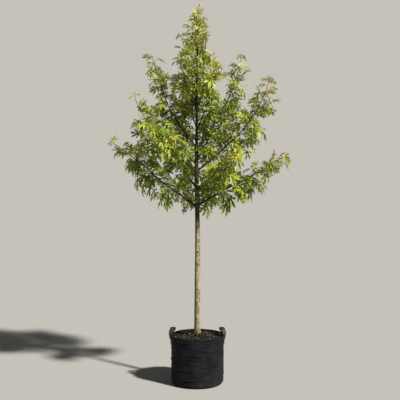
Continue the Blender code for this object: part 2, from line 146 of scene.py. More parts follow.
def build_stage():
    scene = bpy.context.scene
    cam = bpy.data.cameras.new("camera")
    cam.sensor_width, cam.lens, cam.clip_start, cam.clip_end = 36, 57.15, 0.05, 200
    camera = add_object("camera", cam)
    camera.location, camera.rotation_euler = VIEWPOINT, (math.pi / 2, 0, 0)
    scene.camera = camera

    sun = bpy.data.lights.new("key", "SUN")
    sun.energy, sun.angle, sun.color = 5.8, math.radians(4), (1.0, 0.955, 0.87)
    key = add_object("key", sun)
    key.location = (5.77, -4.68, 6.69)
    aim(key, (0, 0, 0))
    area_light("fill", (-1.5, -5.5, 2.6), (0, 0, 1.6), 4.0, 6, (0.95, 0.97, 0.96))

    world = bpy.data.worlds.new("studio")
    scene.world = world
    world.use_nodes = True
    nt = world.node_tree
    nt.nodes.clear()
    out = nt.nodes.new("ShaderNodeOutputWorld")
    bg = nt.nodes.new("ShaderNodeBackground")
    bg.inputs["Color"].default_value = (0.98, 0.98, 0.92, 1)
    bg.inputs["Strength"].default_value = 0.11
    seen = nt.nodes.new("ShaderNodeBackground")
    seen.inputs["Color"].default_value = (0.562, 0.538, 0.488, 1)
    seen.inputs["Strength"].default_value = 1.0
    mix = nt.nodes.new("ShaderNodeMixShader")
    path = nt.nodes.new("ShaderNodeLightPath")
    nt.links.new(path.outputs["Is Camera Ray"], mix.inputs[0])
    nt.links.new(bg.outputs[0], mix.inputs[1])
    nt.links.new(seen.outputs[0], mix.inputs[2])
    nt.links.new(mix.outputs[0], out.inputs["Surface"])
    scene.view_settings.view_transform = "Standard"

    mesh = bpy.data.meshes.new("floor")
    n = 96
    ring = [(60 * math.cos(2 * math.pi * i / n), 60 * math.sin(2 * math.pi * i / n), 0) for i in range(n)]
    mesh.from_pydata(ring, [], [list(range(n))])
    mat = bpy.data.materials.new("floor")
    mat.use_nodes = True
    shader = mat.node_tree.nodes["Principled BSDF"]
    shader.inputs["Base Color"].default_value = (0.42, 0.42, 0.42, 1)
    shader.inputs["Roughness"].default_value = 1.0
    shader.inputs["Specular IOR Level"].default_value = 0.0
    mesh.materials.append(mat)
    add_object("floor", mesh)


# ================================================================ material helpers
def srgb(r, g, b):
    """A colour given in screen values, as the shader's linear ones."""
    return tuple((c / 255 / 12.92) if c / 255 <= 0.04045 else ((c / 255 + 0.055) / 1.055) ** 2.4 for c in (r, g, b))


class Nodes:
    """A short way to write a material's nodes."""

    def __init__(self, name, roughness=0.6, specular=0.5):
        self.mat = bpy.data.materials.new(name)
        self.mat.use_nodes = True
        self.tree = self.mat.node_tree
        self.shader = self.tree.nodes["Principled BSDF"]
        self.shader.inputs["Roughness"].default_value = roughness
        self.shader.inputs["Specular IOR Level"].default_value = specular
        self.place = self.tree.nodes.new("ShaderNodeTexCoord").outputs["Object"]

    def add(self, kind, inputs=(), **settings):
        node = self.tree.nodes.new(kind)
        for k, v in settings.items():
            setattr(node, k, v)
        for k, v in dict(inputs).items():
            if isinstance(v, bpy.types.NodeSocket):
                self.tree.links.new(v, node.inputs[k])
            else:
                node.inputs[k].default_value = v
        return node

    def scaled(self, x, y, z, vector=None):
        return self.add("ShaderNodeMapping", {0: vector or self.place, 3: (x, y, z)}).outputs[0]

    def noise(self, scale, detail=3.0, rough=0.55, vector=None, distortion=0.0):
        return self.add(
            "ShaderNodeTexNoise",
            {"Vector": vector or self.place, "Scale": scale, "Detail": detail, "Roughness": rough, "Distortion": distortion},
        ).outputs[0]

    def voronoi(self, scale, vector=None, feature="F1", output="Distance", randomness=1.0):
        return self.add(
            "ShaderNodeTexVoronoi",
            {"Vector": vector or self.place, "Scale": scale, "Randomness": randomness},
            feature=feature,
        ).outputs[output]

    def math(self, kind, a, b=0.0, c=0.0):
        return self.add("ShaderNodeMath", {0: a, 1: b, 2: c}, operation=kind).outputs[0]

    def ramp(self, value, *stops):
        """A smooth step between (position, value or colour) stops."""
        node = self.add("ShaderNodeValToRGB", {0: value})
        ramp = node.color_ramp
        while len(ramp.elements) < len(stops):
            ramp.elements.new(0.5)
        for element, (position, colour) in zip(ramp.elements, stops):
            element.position = position
            colour = (colour,) * 3 if isinstance(colour, (int, float)) else colour
            element.color = (*colour[:3], 1)
        return node.outputs[0]

    def mix(self, share, a, b, kind="MIX"):
        node = self.add("ShaderNodeMix", data_type="RGBA", blend_type=kind)
        for i, v in ((0, share), (6, a), (7, b)):
            if isinstance(v, bpy.types.NodeSocket):
                self.tree.links.new(v, node.inputs[i])
            else:
                node.inputs[i].default_value = v if i == 0 else (*v[:3], 1)
        return node.outputs[2]

    def colour(self, socket):
        self.tree.links.new(socket, self.shader.inputs["Base Color"])

    def roughness(self, socket):
        self.tree.links.new(socket, self.shader.inputs["Roughness"])

    def bump(self, height, strength=0.5, distance=0.001, after=None):
        inputs = {"Height": height, "Strength": strength, "Distance": distance}
        if after is not None:
            inputs["Normal"] = after
        out = self.add("ShaderNodeBump", inputs).outputs[0]
        self.tree.links.new(out, self.shader.inputs["Normal"])
        return out

    def height_share(self, low, high):
        """0 at one height and 1 at the other."""
        z = self.add("ShaderNodeSeparateXYZ", {0: self.place}).outputs[2]
        return self.add("ShaderNodeMapRange", {0: z, 1: low, 2: high}).outputs[0]

    def round_place(self, radius):
        """Coordinates unrolled from a cylinder: distance round, 0, height."""
        xyz = self.add("ShaderNodeSeparateXYZ", {0: self.place})
        angle = self.math("ARCTAN2", xyz.outputs[1], xyz.outputs[0])
        along = self.math("MULTIPLY", angle, radius)
        return along, xyz.outputs[2]


def plain(name, colour, roughness=0.55, specular=0.35):
    mat = bpy.data.materials.new(name)
    mat.use_nodes = True
    shader = mat.node_tree.nodes["Principled BSDF"]
    shader.inputs["Base Color"].default_value = (*colour, 1)
    shader.inputs["Roughness"].default_value = roughness
    shader.inputs["Specular IOR Level"].default_value = specular
    return mat


# ================================================================ mesh helpers
class Build:
    """Collects vertices and faces of many small shapes for one joined mesh."""

    def __init__(self):
        self.verts, self.faces, self.mats, self.count = [], [], [], 0

    def add(self, verts, faces, mat=0):
        verts = np.asarray(verts, np.float32).reshape(-1, 3)
        for group in faces if isinstance(faces, list) else [faces]:
            group = np.asarray(group, np.int64)
            if len(group):
                self.faces.append(group + self.count)
                self.mats.append(np.broadcast_to(np.asarray(mat, np.int32), (len(group),)))
        self.verts.append(verts)
        self.count += len(verts)

    def mesh(self, name, materials, smooth=True, sharp=None):
        verts = np.concatenate(self.verts)
        loops = np.concatenate([f.ravel() for f in self.faces]).astype(np.int32)
        totals = np.concatenate([np.full(len(f), f.shape[1], np.int32) for f in self.faces])
        starts = np.concatenate([[0], np.cumsum(totals)[:-1]]).astype(np.int32)
        mesh = bpy.data.meshes.new(name)
        mesh.vertices.add(len(verts))
        mesh.vertices.foreach_set("co", verts.ravel())
        mesh.loops.add(len(loops))
        mesh.loops.foreach_set("vertex_index", loops)
        mesh.polygons.add(len(totals))
        mesh.polygons.foreach_set("loop_start", starts)
        mesh.polygons.foreach_set("loop_total", totals)
        mesh.polygons.foreach_set("material_index", np.concatenate(self.mats))
        mesh.update(calc_edges=True)
        mesh.validate()
        for mat in materials:
            mesh.materials.append(mat)
        mesh.polygons.foreach_set("use_smooth", np.full(len(mesh.polygons), smooth))
        if sharp is not None:
            mesh.set_sharp_from_angle(angle=math.radians(sharp))
        return mesh


def grid_faces(rows, cols, wrap=True):
    """Quads of a grid of rows x cols points, joined round the columns if wrap."""
    r = np.arange(rows - 1)[:, None]
    c = np.arange(cols if wrap else cols - 1)[None, :]
    a = r * cols + c
    b = r * cols + (c + 1) % cols
    return np.stack([a, b, b + cols, a + cols], -1).reshape(-1, 4)


def tube(points, radii, sides, flat_ends=False):
    """A closed round tube along points, with a frame that doesn't twist."""
    p = np.asarray([tuple(q) for q in points], float)
    n = len(p)
    ahead = np.gradient(p, axis=0)
    ahead /= np.linalg.norm(ahead, axis=1)[:, None]
    u = np.cross(ahead[0], (0.0, 0.0, 1.0))
    if np.linalg.norm(u) < 0.1:
        u = np.cross(ahead[0], (1.0, 0.0, 0.0))
    u /= np.linalg.norm(u)
    a = 2 * np.pi * np.arange(sides) / sides
    rings = []
    for i in range(n):
        u = u - ahead[i] * u.dot(ahead[i])
        u /= np.linalg.norm(u)
        v = np.cross(ahead[i], u)
        rings.append(p[i] + radii[i] * (np.cos(a)[:, None] * u + np.sin(a)[:, None] * v))
    push = 0.0 if flat_ends else 0.6
    verts = np.concatenate(rings + [[p[0] - ahead[0] * radii[0] * push], [p[-1] + ahead[-1] * radii[-1] * push]])
    quads = grid_faces(n, sides)
    i = np.arange(sides)
    j = (i + 1) % sides
    low = np.stack([j, i, np.full(sides, n * sides)], -1)
    high = np.stack([(n - 1) * sides + i, (n - 1) * sides + j, np.full(sides, n * sides + 1)], -1)
    return verts, [quads, low, high]


def between(table, x):
    if x <= table[0][0]:
        return table[0][1]
    for (x0, v0), (x1, v1) in zip(table, table[1:]):
        if x <= x1:
            return v0 + (v1 - v0) * (x - x0) / (x1 - x0)
    return table[-1][1]


def smoothstep(a, b, x):
    t = min(max((x - a) / (b - a), 0.0), 1.0)
    return t * t * (3 - 2 * t)


# ================================================================ the limbs' lines, as in the CAD
def stem_axis(z):
    x = (between(STEM_LINE, z - 0.06) + between(STEM_LINE, z) + between(STEM_LINE, z + 0.06)) / 3
    y = STEM_BOW * math.sin(1.6 * math.pi * (z - SOIL_TOP) / (2.85 - SOIL_TOP))
    return Vector((x, y, z))


def stem_radius(z):
    return between(STEM_RADII, z) + FLARE * math.exp(-(z - SOIL_TOP) / FLARE_HEIGHT)


def bough_point(spec, t):
    z0, compass, reach, rise, first, last = spec[:6]
    a = math.radians(compass)
    arm = 0.36 * math.hypot(reach, rise)
    s0, s1 = math.radians(first), math.radians(last)
    p = (
        (0.0, 0.0),
        (arm * math.cos(s0), arm * math.sin(s0)),
        (reach - arm * math.cos(s1), rise - arm * math.sin(s1)),
        (reach, rise),
    )
    k = ((1 - t) ** 3, 3 * t * (1 - t) ** 2, 3 * t * t * (1 - t), t**3)
    out = sum(w * q[0] for w, q in zip(k, p))
    up = sum(w * q[1] for w, q in zip(k, p))
    return stem_axis(z0) + Vector((out * math.cos(a), out * math.sin(a), up))


def bough_frame(spec, t):
    step = 0.004
    ahead = bough_point(spec, min(t + step, 1.0)) - bough_point(spec, max(t - step, 0.0))
    ahead.normalize()
    side = Vector((0, 0, 1)).cross(ahead).normalized()
    return bough_point(spec, t), ahead, side, ahead.cross(side)


def bough_radius(spec, t):
    return BOUGH_TIP_RADIUS + (spec[6] - BOUGH_TIP_RADIUS) * (1 - t) ** 0.85


def mass_radius(spec, u):
    start, middle, end = spec[8:11]
    return start + (middle - start) * u / 0.5 if u < 0.5 else middle + (end - middle) * (u - 0.5) / 0.5


def bough_line(spec, wander):
    """The bough's real line: the CAD's, with small kinks at its nodes. Returns points evenly spaced by length."""
    length = sum((bough_point(spec, (i + 1) / 60) - bough_point(spec, i / 60)).length for i in range(60))
    n = max(12, int(length / 0.0075))
    points = []
    for i in range(n + 1):
        t = i / n
        centre, ahead, side, up = bough_frame(spec, t)
        grow = smoothstep(0.02, 0.25, t)
        a = noise.noise(Vector((wander, t * length * 7, 0.3)))
        b = noise.noise(Vector((wander, t * length * 7, 9.1)))
        points.append(centre + (side * a + up * b) * 0.012 * grow)
    return points, length


# ================================================================ the bark
KNOTS = (  # height, compass angle, radius of the callus ring: where side shoots were pruned off
    (1.108, -92, 0.0088), (1.196, -62, 0.0060), (0.842, 152, 0.0080), (0.668, 18, 0.0070), (1.322, 96, 0.0065),
    (0.955, -150, 0.0060), (1.405, -128, 0.0055), (0.560, -100, 0.0050),
)


def bark_stem():
    sides, count = 60, 860
    z0 = SOIL_TOP - 0.012
    zs = np.linspace(0, 1, count) * (STEM_TIP - z0) + z0
    angle = 2 * np.pi * np.arange(sides) / sides
    verts = np.zeros((count, sides, 3), np.float32)
    whorls = sorted({round(s[0], 3) for s in BOUGHS.values()})
    for i, z in enumerate(zs):
        axis = stem_axis(z)
        r = stem_radius(z)
        swell = sum(0.0011 * math.exp(-(((z - w) / 0.014) ** 2)) for w in whorls) * min(1.0, r / 0.012)
        base = math.exp(-(max(z - SOIL_TOP, 0.0)) / 0.022)
        rough = smoothstep(0.004, 0.02, r)
        for j, a in enumerate(angle):
            ca, sa = math.cos(a), math.sin(a)
            p = Vector((ca * r, sa * r, z))
            grain = noise.noise(Vector((p.x * 190, p.y * 190, z * 16)))
            patch = noise.noise(Vector((p.x * 42, p.y * 42, z * 7 + 4)))
            fine = noise.noise(Vector((p.x * 420, p.y * 420, z * 150 + 8)))
            d = rough * (0.00042 * grain + 0.00055 * patch + 0.00022 * fine) + swell
            d += 0.0024 * base * math.cos(5 * a + 0.7 + 0.5 * math.sin(a))
            for kz, ka, kr in KNOTS:
                if abs(z - kz) < 3 * kr:
                    da = (a - math.radians(ka) + math.pi) % (2 * math.pi) - math.pi
                    q = math.hypot(da * r, (z - kz) * 0.8) / kr
                    if q < 3:
                        d += 0.0020 * math.exp(-((q - 1.0) ** 2) / 0.16) - 0.0010 * math.exp(-(q * q) / 0.30)
            verts[i, j] = (axis.x + ca * (r + d), axis.y + sa * (r + d), z)
    b = Build()
    flat = verts.reshape(-1, 3)
    ends = np.array([[*stem_axis(z0)], [*(stem_axis(STEM_TIP) + Vector((0, 0, 0.004)))]])
    n = len(flat)
    k = np.arange(sides)
    k2 = (k + 1) % sides
    faces = [
        grid_faces(count, sides),
        np.stack([k2, k, np.full(sides, n)], -1),
        np.stack([n - sides + k, n - sides + k2, np.full(sides, n + 1)], -1),
    ]
    b.add(np.concatenate([flat, ends]), faces)
    return b.mesh("bark_stem", [stem_material()])


def stem_material():
    m = Nodes("stem_bark", 0.72, 0.3)
    streaks = m.noise(30, 5, 0.6, m.scaled(1, 1, 0.14), 0.4)
    patches = m.noise(17, 4, 0.6, m.scaled(1, 1, 0.45), 0.8)
    flecks = m.voronoi(150, m.scaled(1, 1, 1.9))
    speck = m.noise(260, 3, 0.6)
    mottle = m.noise(62, 3, 0.65, m.scaled(1, 1, 0.62), 0.6)
    pale, mid, dark, green = srgb(190, 177, 146), srgb(152, 139, 106), srgb(98, 86, 60), srgb(118, 115, 78)
    base = m.ramp(streaks, (0.30, dark), (0.47, mid), (0.66, pale))
    tint = m.ramp(patches, (0.46, 0.0), (0.62, 0.75))
    colour = m.mix(tint, base, green)
    colour = m.mix(m.ramp(patches, (0.30, 0.65), (0.42, 0.0)), colour, srgb(174, 163, 132))
    # Painted shade: the bark darkens towards -x, the side turned away from the key light, varied by the streaks.
    shade_side = m.add("ShaderNodeMapRange", {0: m.add("ShaderNodeSeparateXYZ", {0: m.place}).outputs[0], 1: 0.002, 2: -0.020}).outputs[0]
    painted_side_shade = m.math("MULTIPLY", shade_side, m.ramp(streaks, (0.35, 0.85), (0.65, 0.55)))
    colour = m.mix(painted_side_shade, colour, srgb(92, 80, 52))
    colour = m.mix(m.ramp(mottle, (0.36, 0.85), (0.47, 0.0)), colour, srgb(84, 72, 50))
    colour = m.mix(m.ramp(mottle, (0.56, 0.0), (0.68, 0.8)), colour, srgb(216, 204, 178))
    # Above 1.2 m the bark darkens to near black. This is partly darker young bark and mostly painted shade where the
    # crown shades the stem. The pale pores fade out there too.
    young = m.math("MULTIPLY", m.height_share(1.20, 1.42), 0.96)
    colour = m.mix(young, colour, m.ramp(streaks, (0.3, srgb(30, 26, 15)), (0.6, srgb(56, 48, 29))))
    tip = m.height_share(2.75, 3.12)
    colour = m.mix(tip, colour, srgb(104, 88, 44))
    pores = m.math("MULTIPLY", m.ramp(flecks, (0.10, 0.75), (0.22, 0.0)), m.math("SUBTRACT", 1.0, m.math("MULTIPLY", young, 0.75)))
    colour = m.mix(pores, colour, srgb(214, 204, 178))
    colour = m.mix(m.ramp(speck, (0.35, 0.4), (0.5, 0.0)), colour, srgb(72, 62, 40), "MULTIPLY")
    m.colour(colour)
    m.roughness(m.ramp(patches, (0.3, 0.62), (0.7, 0.85)))
    first = m.bump(streaks, 0.5, 0.0016)
    m.bump(speck, 0.35, 0.0006, first)
    return m.mat


def bough_material():
    m = Nodes("bough_bark", 0.6, 0.25)
    streaks = m.noise(70, 4, 0.6)
    flecks = m.voronoi(210)
    reddish, dark = srgb(50, 39, 28), srgb(27, 22, 17)
    colour = m.ramp(streaks, (0.35, dark), (0.65, reddish))
    colour = m.mix(m.ramp(flecks, (0.08, 0.7), (0.15, 0.0)), colour, srgb(118, 106, 82))
    m.colour(colour)
    m.roughness(m.ramp(streaks, (0.3, 0.55), (0.7, 0.72)))
    m.bump(m.noise(320, 3), 0.4, 0.0005)
    return m.mat


def bark_bough(build, spec, points, length, node_lengths):
    """A bough's bark from inside the stem to its tip, with a collar at its foot and a ring at each node."""
    n = len(points) - 1
    radii = []
    for i in range(n + 1):
        s = length * i / n
        r = bough_radius(spec, i / n)
        foot = max(s - stem_radius(spec[0]), 0.0)
        r *= 1 + 0.55 * math.exp(-foot / 0.011)
        r += sum(0.00055 * math.exp(-(((s - q) / 0.006) ** 2)) for q in node_lengths)
        radii.append(r)
    sides = 14 if spec[6] > 0.006 else 10
    verts, faces = tube(points, radii, sides)
    shaped = np.array(
        [
            [*(Vector(v) + (Vector(v) - points[min(i // sides, n)]) * 0.10 * noise.noise(Vector(v) * 130))]
            for i, v in enumerate(verts[: (n + 1) * sides])
        ]
    )
    verts[: (n + 1) * sides] = shaped
    build.add(verts, faces)


def lenticels(build):
    """Small pale corky pores, raised on the stem's bark."""
    rng = random.Random(5)
    ring = [(math.cos(2 * math.pi * i / 8), math.sin(2 * math.pi * i / 8)) for i in range(8)]
    for _ in range(620):
        z = 0.45 + (2.35 - 0.45) * rng.random() ** 1.1
        a = rng.uniform(0, 2 * math.pi)
        r = stem_radius(z)
        out = Vector((math.cos(a), math.sin(a), 0))
        along = Vector((-math.sin(a), math.cos(a), 0))
        centre = stem_axis(z) + out * r
        w, h = rng.uniform(0.0009, 0.0024), rng.uniform(0.0006, 0.0011)
        if rng.random() < 0.25:
            w, h = h, w * 1.3
        low = [centre + along * x * w + Vector((0, 0, y * h)) - out * 0.0006 for x, y in ring]
        mid = [centre + along * x * w * 0.72 + Vector((0, 0, y * h * 0.72)) + out * 0.0007 for x, y in ring]
        verts = [tuple(v) for v in low + mid] + [tuple(centre + out * 0.00095), tuple(centre - out * 0.0009)]
        i = np.arange(8)
        j = (i + 1) % 8
        build.add(
            verts,
            [
                np.stack([i, j, j + 8, i + 8], -1),
                np.stack([i + 8, j + 8, np.full(8, 16)], -1),
                np.stack([j, i, np.full(8, 17)], -1),
            ],
        )


def knot_cores(build):
    """The dark dead wood inside each pruning scar."""
    rng = random.Random(8)
    for z, compass, kr in KNOTS:
        a = math.radians(compass)
        out = Vector((math.cos(a), math.sin(a), 0))
        along = Vector((-math.sin(a), math.cos(a), 0))
        r = stem_radius(z)
        centre = stem_axis(z) + out * (r - 0.0002)
        rings = []
        for share, lift in ((0.92, -0.0014), (0.84, 0.0006), (0.46, 0.0002), (0.17, -0.0004)):
            ring = []
            for i in range(18):
                q = 2 * math.pi * i / 18
                k = kr * share * (1 + 0.12 * math.sin(3 * q + z * 9) + rng.uniform(-0.05, 0.05))
                ring.append(centre + along * math.cos(q) * k + Vector((0, 0, math.sin(q) * k * 1.15)) + out * lift)
            rings.append(ring)
        verts = [tuple(v) for ring in rings for v in ring] + [tuple(centre - out * 0.0006), tuple(centre - out * 0.003)]
        i = np.arange(18)
        j = (i + 1) % 18
        build.add(
            verts,
            [grid_faces(4, 18), np.stack([54 + i, 54 + j, np.full(18, 72)], -1), np.stack([j, i, np.full(18, 73)], -1)],
        )


# ================================================================ the leaf
def leaf_shape(seed, cup, curl, spread, depth):
    """One deeply cut leaf, 1 long from its petiole to the tip of its middle lobe.

    x is across, y towards the tip and z up from its upper side. Returns the vertices, the upper and the lower
    triangles. The two sides share their outline, so the blade is a closed thin body.
    """
    rng = random.Random(seed)
    lobes = [  # angle, length, number of teeth on each side
        (-1.40 * spread - 0.10, 0.55, 1), (-0.66 * spread, 0.88, 2), (0.0, 1.0, 2),
        (0.66 * spread, 0.88, 2), (1.40 * spread + 0.10, 0.55, 1),
    ]
    lobes = [(a + rng.uniform(-0.06, 0.06), k * rng.uniform(0.93, 1.05), t) for a, k, t in lobes]
    outline, spine, tris, pts = [], [], [], []

    def put(x, y, lift=0.0):
        pts.append((x, y, lift))
        return len(pts) - 1

    heart = put(0.0, 0.0)
    spine.append(heart)
    base = put(0.0, -0.030, 0.004)
    outline.append(base)
    sinus = []
    for (a0, k0, _), (a1, k1, _) in zip(lobes, lobes[1:]):
        a = (a0 + a1) / 2
        d = depth * (0.75 if min(k0, k1) < 0.7 else 1.0)
        sinus.append(put(d * math.sin(a), d * math.cos(a), 0.010))
    for i, (a, k, teeth) in enumerate(lobes):
        ax, ay = math.sin(a), math.cos(a)
        bend = rng.uniform(-0.12, 0.12)

        def at(s, w, lift=0.0):
            s2 = s * k
            side = w * k + bend * s * s * k * 0.5
            return put(ax * s2 + ay * side, ay * s2 - ax * side, lift)

        m1, m2 = at(0.22, 0), at(0.50, 0)
        m3 = at(0.70, 0) if teeth == 2 else None
        tip = at(1.0, 0)
        spine.extend([m1, m2] + ([m3] if m3 else []))
        for sign in (-1, 1):
            start = sinus[i - 1] if sign < 0 and i > 0 else sinus[i] if sign > 0 and i < len(lobes) - 1 else base
            j = rng.uniform(-0.03, 0.03)
            w = sign
            waist = at(0.34, 0.052 * w, cup * 0.07)
            shoulder = at(0.50, 0.084 * w, cup * 0.11)
            if teeth == 2:
                tooth = at(0.71 + j, 0.192 * w, cup * 0.22)
                notch = at(0.66 + j, 0.072 * w, cup * 0.09)
                tooth2 = at(0.87 + j, 0.106 * w, cup * 0.12)
                notch2 = at(0.82 + j, 0.045 * w, cup * 0.05)
                fan = [
                    (heart, start, m1), (m1, start, waist), (m1, waist, m2), (m2, waist, shoulder), (m2, shoulder, notch),
                    (notch, shoulder, tooth), (m2, notch, m3), (m3, notch, notch2), (notch2, notch, tooth2), (m3, notch2, tip),
                ]
            else:
                tooth = at(0.75 + j, 0.165 * w, cup * 0.18)
                notch = at(0.70 + j, 0.062 * w, cup * 0.07)
                fan = [
                    (heart, start, m1), (m1, start, waist), (m1, waist, m2), (m2, waist, shoulder), (m2, shoulder, notch),
                    (notch, shoulder, tooth), (m2, notch, tip),
                ]
            for t in fan:
                tris.append(t if sign > 0 else (t[0], t[2], t[1]))
    p = np.array(pts)
    tris = np.array(tris)
    a, b, c = (p[tris[:, i], :2] for i in range(3))
    area = (b[:, 0] - a[:, 0]) * (c[:, 1] - a[:, 1]) - (b[:, 1] - a[:, 1]) * (c[:, 0] - a[:, 0])
    tris[area < 0] = tris[area < 0][:, [0, 2, 1]]
    r2 = p[:, 0] ** 2 + p[:, 1] ** 2
    p[:, 2] += -curl * r2 - 0.13 * np.abs(p[:, 0]) ** 1.6 + 0.03 * np.sin(9 * p[:, 0] + seed) * np.sqrt(r2)
    under = np.arange(len(p))
    extra = p[spine].copy()
    extra[:, 2] -= 0.0070
    under[spine] = len(p) + np.arange(len(spine))
    lower = under[tris][:, [0, 2, 1]]
    return np.concatenate([p, extra]), tris, lower


LEAF_SHAPES = [
    leaf_shape(1, 0.40, 0.20, 0.92, 0.24), leaf_shape(2, 0.52, 0.34, 0.82, 0.23), leaf_shape(3, 0.32, 0.12, 1.00, 0.25),
    leaf_shape(4, 0.46, 0.44, 0.76, 0.24), leaf_shape(5, 0.38, 0.28, 0.88, 0.23), leaf_shape(6, 0.58, 0.18, 0.96, 0.24),
    leaf_shape(7, 0.50, 0.52, 0.72, 0.25), leaf_shape(8, 0.42, 0.06, 1.02, 0.25),
]
TONES = [  # upper side, lower side
    ("deep", srgb(70, 92, 4), srgb(144, 160, 74)),
    ("cool", srgb(88, 113, 12), srgb(154, 170, 84)),
    ("mid", srgb(114, 133, 20), srgb(166, 180, 90)),
    ("fresh", srgb(140, 156, 32), srgb(176, 188, 94)),
    ("lime", srgb(162, 174, 54), srgb(188, 195, 108)),
    ("gold", srgb(178, 178, 64), srgb(195, 196, 110)),
    ("bronze", srgb(164, 148, 58), srgb(182, 170, 92)),
]


def leaf_materials():
    upper = [plain("leaf_" + n, c, 0.38, 0.45) for n, c, _ in TONES]
    lower = [plain("leaf_" + n + "_underside", c, 0.70, 0.10) for n, _, c in TONES]
    return upper + lower


def unit(v):
    return v.normalized() if v.length > 1e-9 else Vector((0, 0, 1))


UP = Vector((0, 0, 1))


# ================================================================ where the photo shows open limbs and bright sprays
def facing(p):
    """Where a point lies on the upright plane through the stem, as the photo's viewpoint sees it."""
    k = -VIEWPOINT[1] / (p[1] - VIEWPOINT[1])
    return VIEWPOINT[0] + (p[0] - VIEWPOINT[0]) * k, VIEWPOINT[2] + (p[2] - VIEWPOINT[2]) * k


OPEN_LIMBS = (  # bough, how far along it shows, share of the leaves in front of it that are missing
    ("low_left", 0.50, 0.85), ("low_right", 0.60, 0.80), ("mid_right", 0.78, 0.85), ("upper_left", 0.72, 0.85),
    ("upper_right", 0.66, 0.85),
)
OPEN_STEM = ((1.42, 2.20, 0.72), (2.20, 2.62, 0.45), (2.62, 2.84, 0.60))


def open_lines():
    """Points along the limbs that stay in view: x and z facing the viewpoint, depth, share kept open."""
    rows = []
    for name, end, share in OPEN_LIMBS:
        spec = BOUGHS[name]
        for i in range(90):
            p = bough_point(spec, end * i / 89)
            rows.append((*facing(p), p.y, share))
    for low, high, share in OPEN_STEM:
        for i in range(80):
            p = stem_axis(low + (high - low) * i / 79)
            rows.append((*facing(p), p.y, share))
    return np.array(rows)


OPEN = open_lines()


GAPS = (  # x, z, radius: where the crown is open to the wall behind it
    (0.196, 2.532, 0.052), (0.213, 2.470, 0.045), (0.150, 2.840, 0.058), (-0.161, 1.486, 0.042), (0.154, 1.469, 0.040),
    (-0.175, 2.850, 0.056), (0.553, 2.209, 0.042), (-0.356, 1.631, 0.036), (0.307, 1.571, 0.040), (0.400, 1.812, 0.045),
    (-0.186, 1.767, 0.036), (0.528, 1.869, 0.036), (-0.178, 2.676, 0.036), (0.196, 2.761, 0.036), (-0.637, 1.886, 0.034),
    (0.540, 1.945, 0.040), (-0.322, 1.869, 0.034), (-0.530, 1.745, 0.034), (0.138, 2.940, 0.046), (-0.160, 2.945, 0.046),
    (-0.365, 2.805, 0.058), (0.330, 1.440, 0.040), (-0.555, 2.275, 0.054), (-0.254, 1.420, 0.036), (0.515, 1.996, 0.040),
    (-0.250, 2.480, 0.034), (0.162, 1.476, 0.044), (0.400, 2.362, 0.044), (0.440, 1.790, 0.040), (-0.055, 3.185, 0.032),
    (0.445, 1.530, 0.026), (-0.545, 2.380, 0.036), (-0.345, 2.262, 0.028), (0.596, 1.690, 0.040), (0.324, 1.490, 0.034),
    (-0.365, 2.413, 0.030), (0.185, 1.430, 0.044), (-0.280, 2.676, 0.030), (-0.722, 1.996, 0.022),
    (-0.590, 2.190, 0.030),
)


def in_the_way(p, size):
    """The chance that a leaf centred here is left out: it hides a limb that shows, or fills a gap in the crown."""
    x, z = facing(p)
    if any(math.hypot(x - gx, z - gz) < r + 0.12 * size for gx, gz, r in GAPS):
        return 0.94
    near = (OPEN[:, 0] - x) ** 2 + (OPEN[:, 1] - z) ** 2 < (0.013 + 0.24 * size) ** 2
    near &= OPEN[:, 2] > p[1] - 0.005
    return float(OPEN[near, 3].max()) if near.any() else 0.0


# Painted light and shade: leaf tones are raised on sprays that catch the sun and lowered, by a negative lift, on shaded
# ones.
PAINTED_LIGHT_SPRAYS = (  # x, z, reach and lift in tone of the sprays that shine in the photo, and of the dark ones
    (-0.20, 2.07, 0.13, 1.0), (0.20, 1.80, 0.10, 1.3), (0.00, 2.55, 0.12, 1.1), (0.30, 2.10, 0.12, 0.8),
    (0.00, 3.04, 0.26, 1.3), (-0.24, 1.50, 0.10, -0.8), (-0.45, 1.72, 0.12, 0.8), (0.04, 1.47, 0.10, -0.7),
    (0.24, 1.50, 0.14, -1.3), (0.42, 1.56, 0.12, -1.0), (0.17, 1.63, 0.08, 0.8), (-0.42, 2.02, 0.10, -0.8),
)


# Painted light at a point: the tone lift, which is painted shade where it is negative.
def shine(p):
    x, z = facing(p)
    return sum(lift * math.exp(-((x - bx) ** 2 + (z - bz) ** 2) / (r * r)) for bx, bz, r, lift in PAINTED_LIGHT_SPRAYS)


class Mass:
    """The closed CAD solid that a spray of leaves fills."""

    def __init__(self, node):
        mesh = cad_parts[node].data
        verts = [v.co.copy() for v in mesh.vertices]
        self.tree = BVHTree.FromPolygons(verts, [list(p.vertices) for p in mesh.polygons])
        self.leaves = Build()
        self.placed = []
        self.count = 0

    def depth(self, p):
        """How far inside the solid a point lies; negative outside."""
        place, normal, _, distance = self.tree.find_nearest(p)
        return -distance if (p - place).dot(normal) > 0 else distance


def petiole_line(start, first, second, length):
    """A slender stalk's four points, in two bends."""
    p1 = start + first * length * 0.5
    p2 = p1 + unit(first * 0.5 + second * 0.5) * length * 0.28
    return start, p1, p2, p2 + second * length * 0.24


TRIES = 32
REACH_LOW, REACH_HIGH = (  # no leaf may reach further than this past the CAD's box
    np.array([c + sign * (0.03 * (h - l) + 0.006) for c, l, h in zip(corner, *cad_box)])
    for corner, sign in ((cad_box[0], -1), (cad_box[1], 1))
)


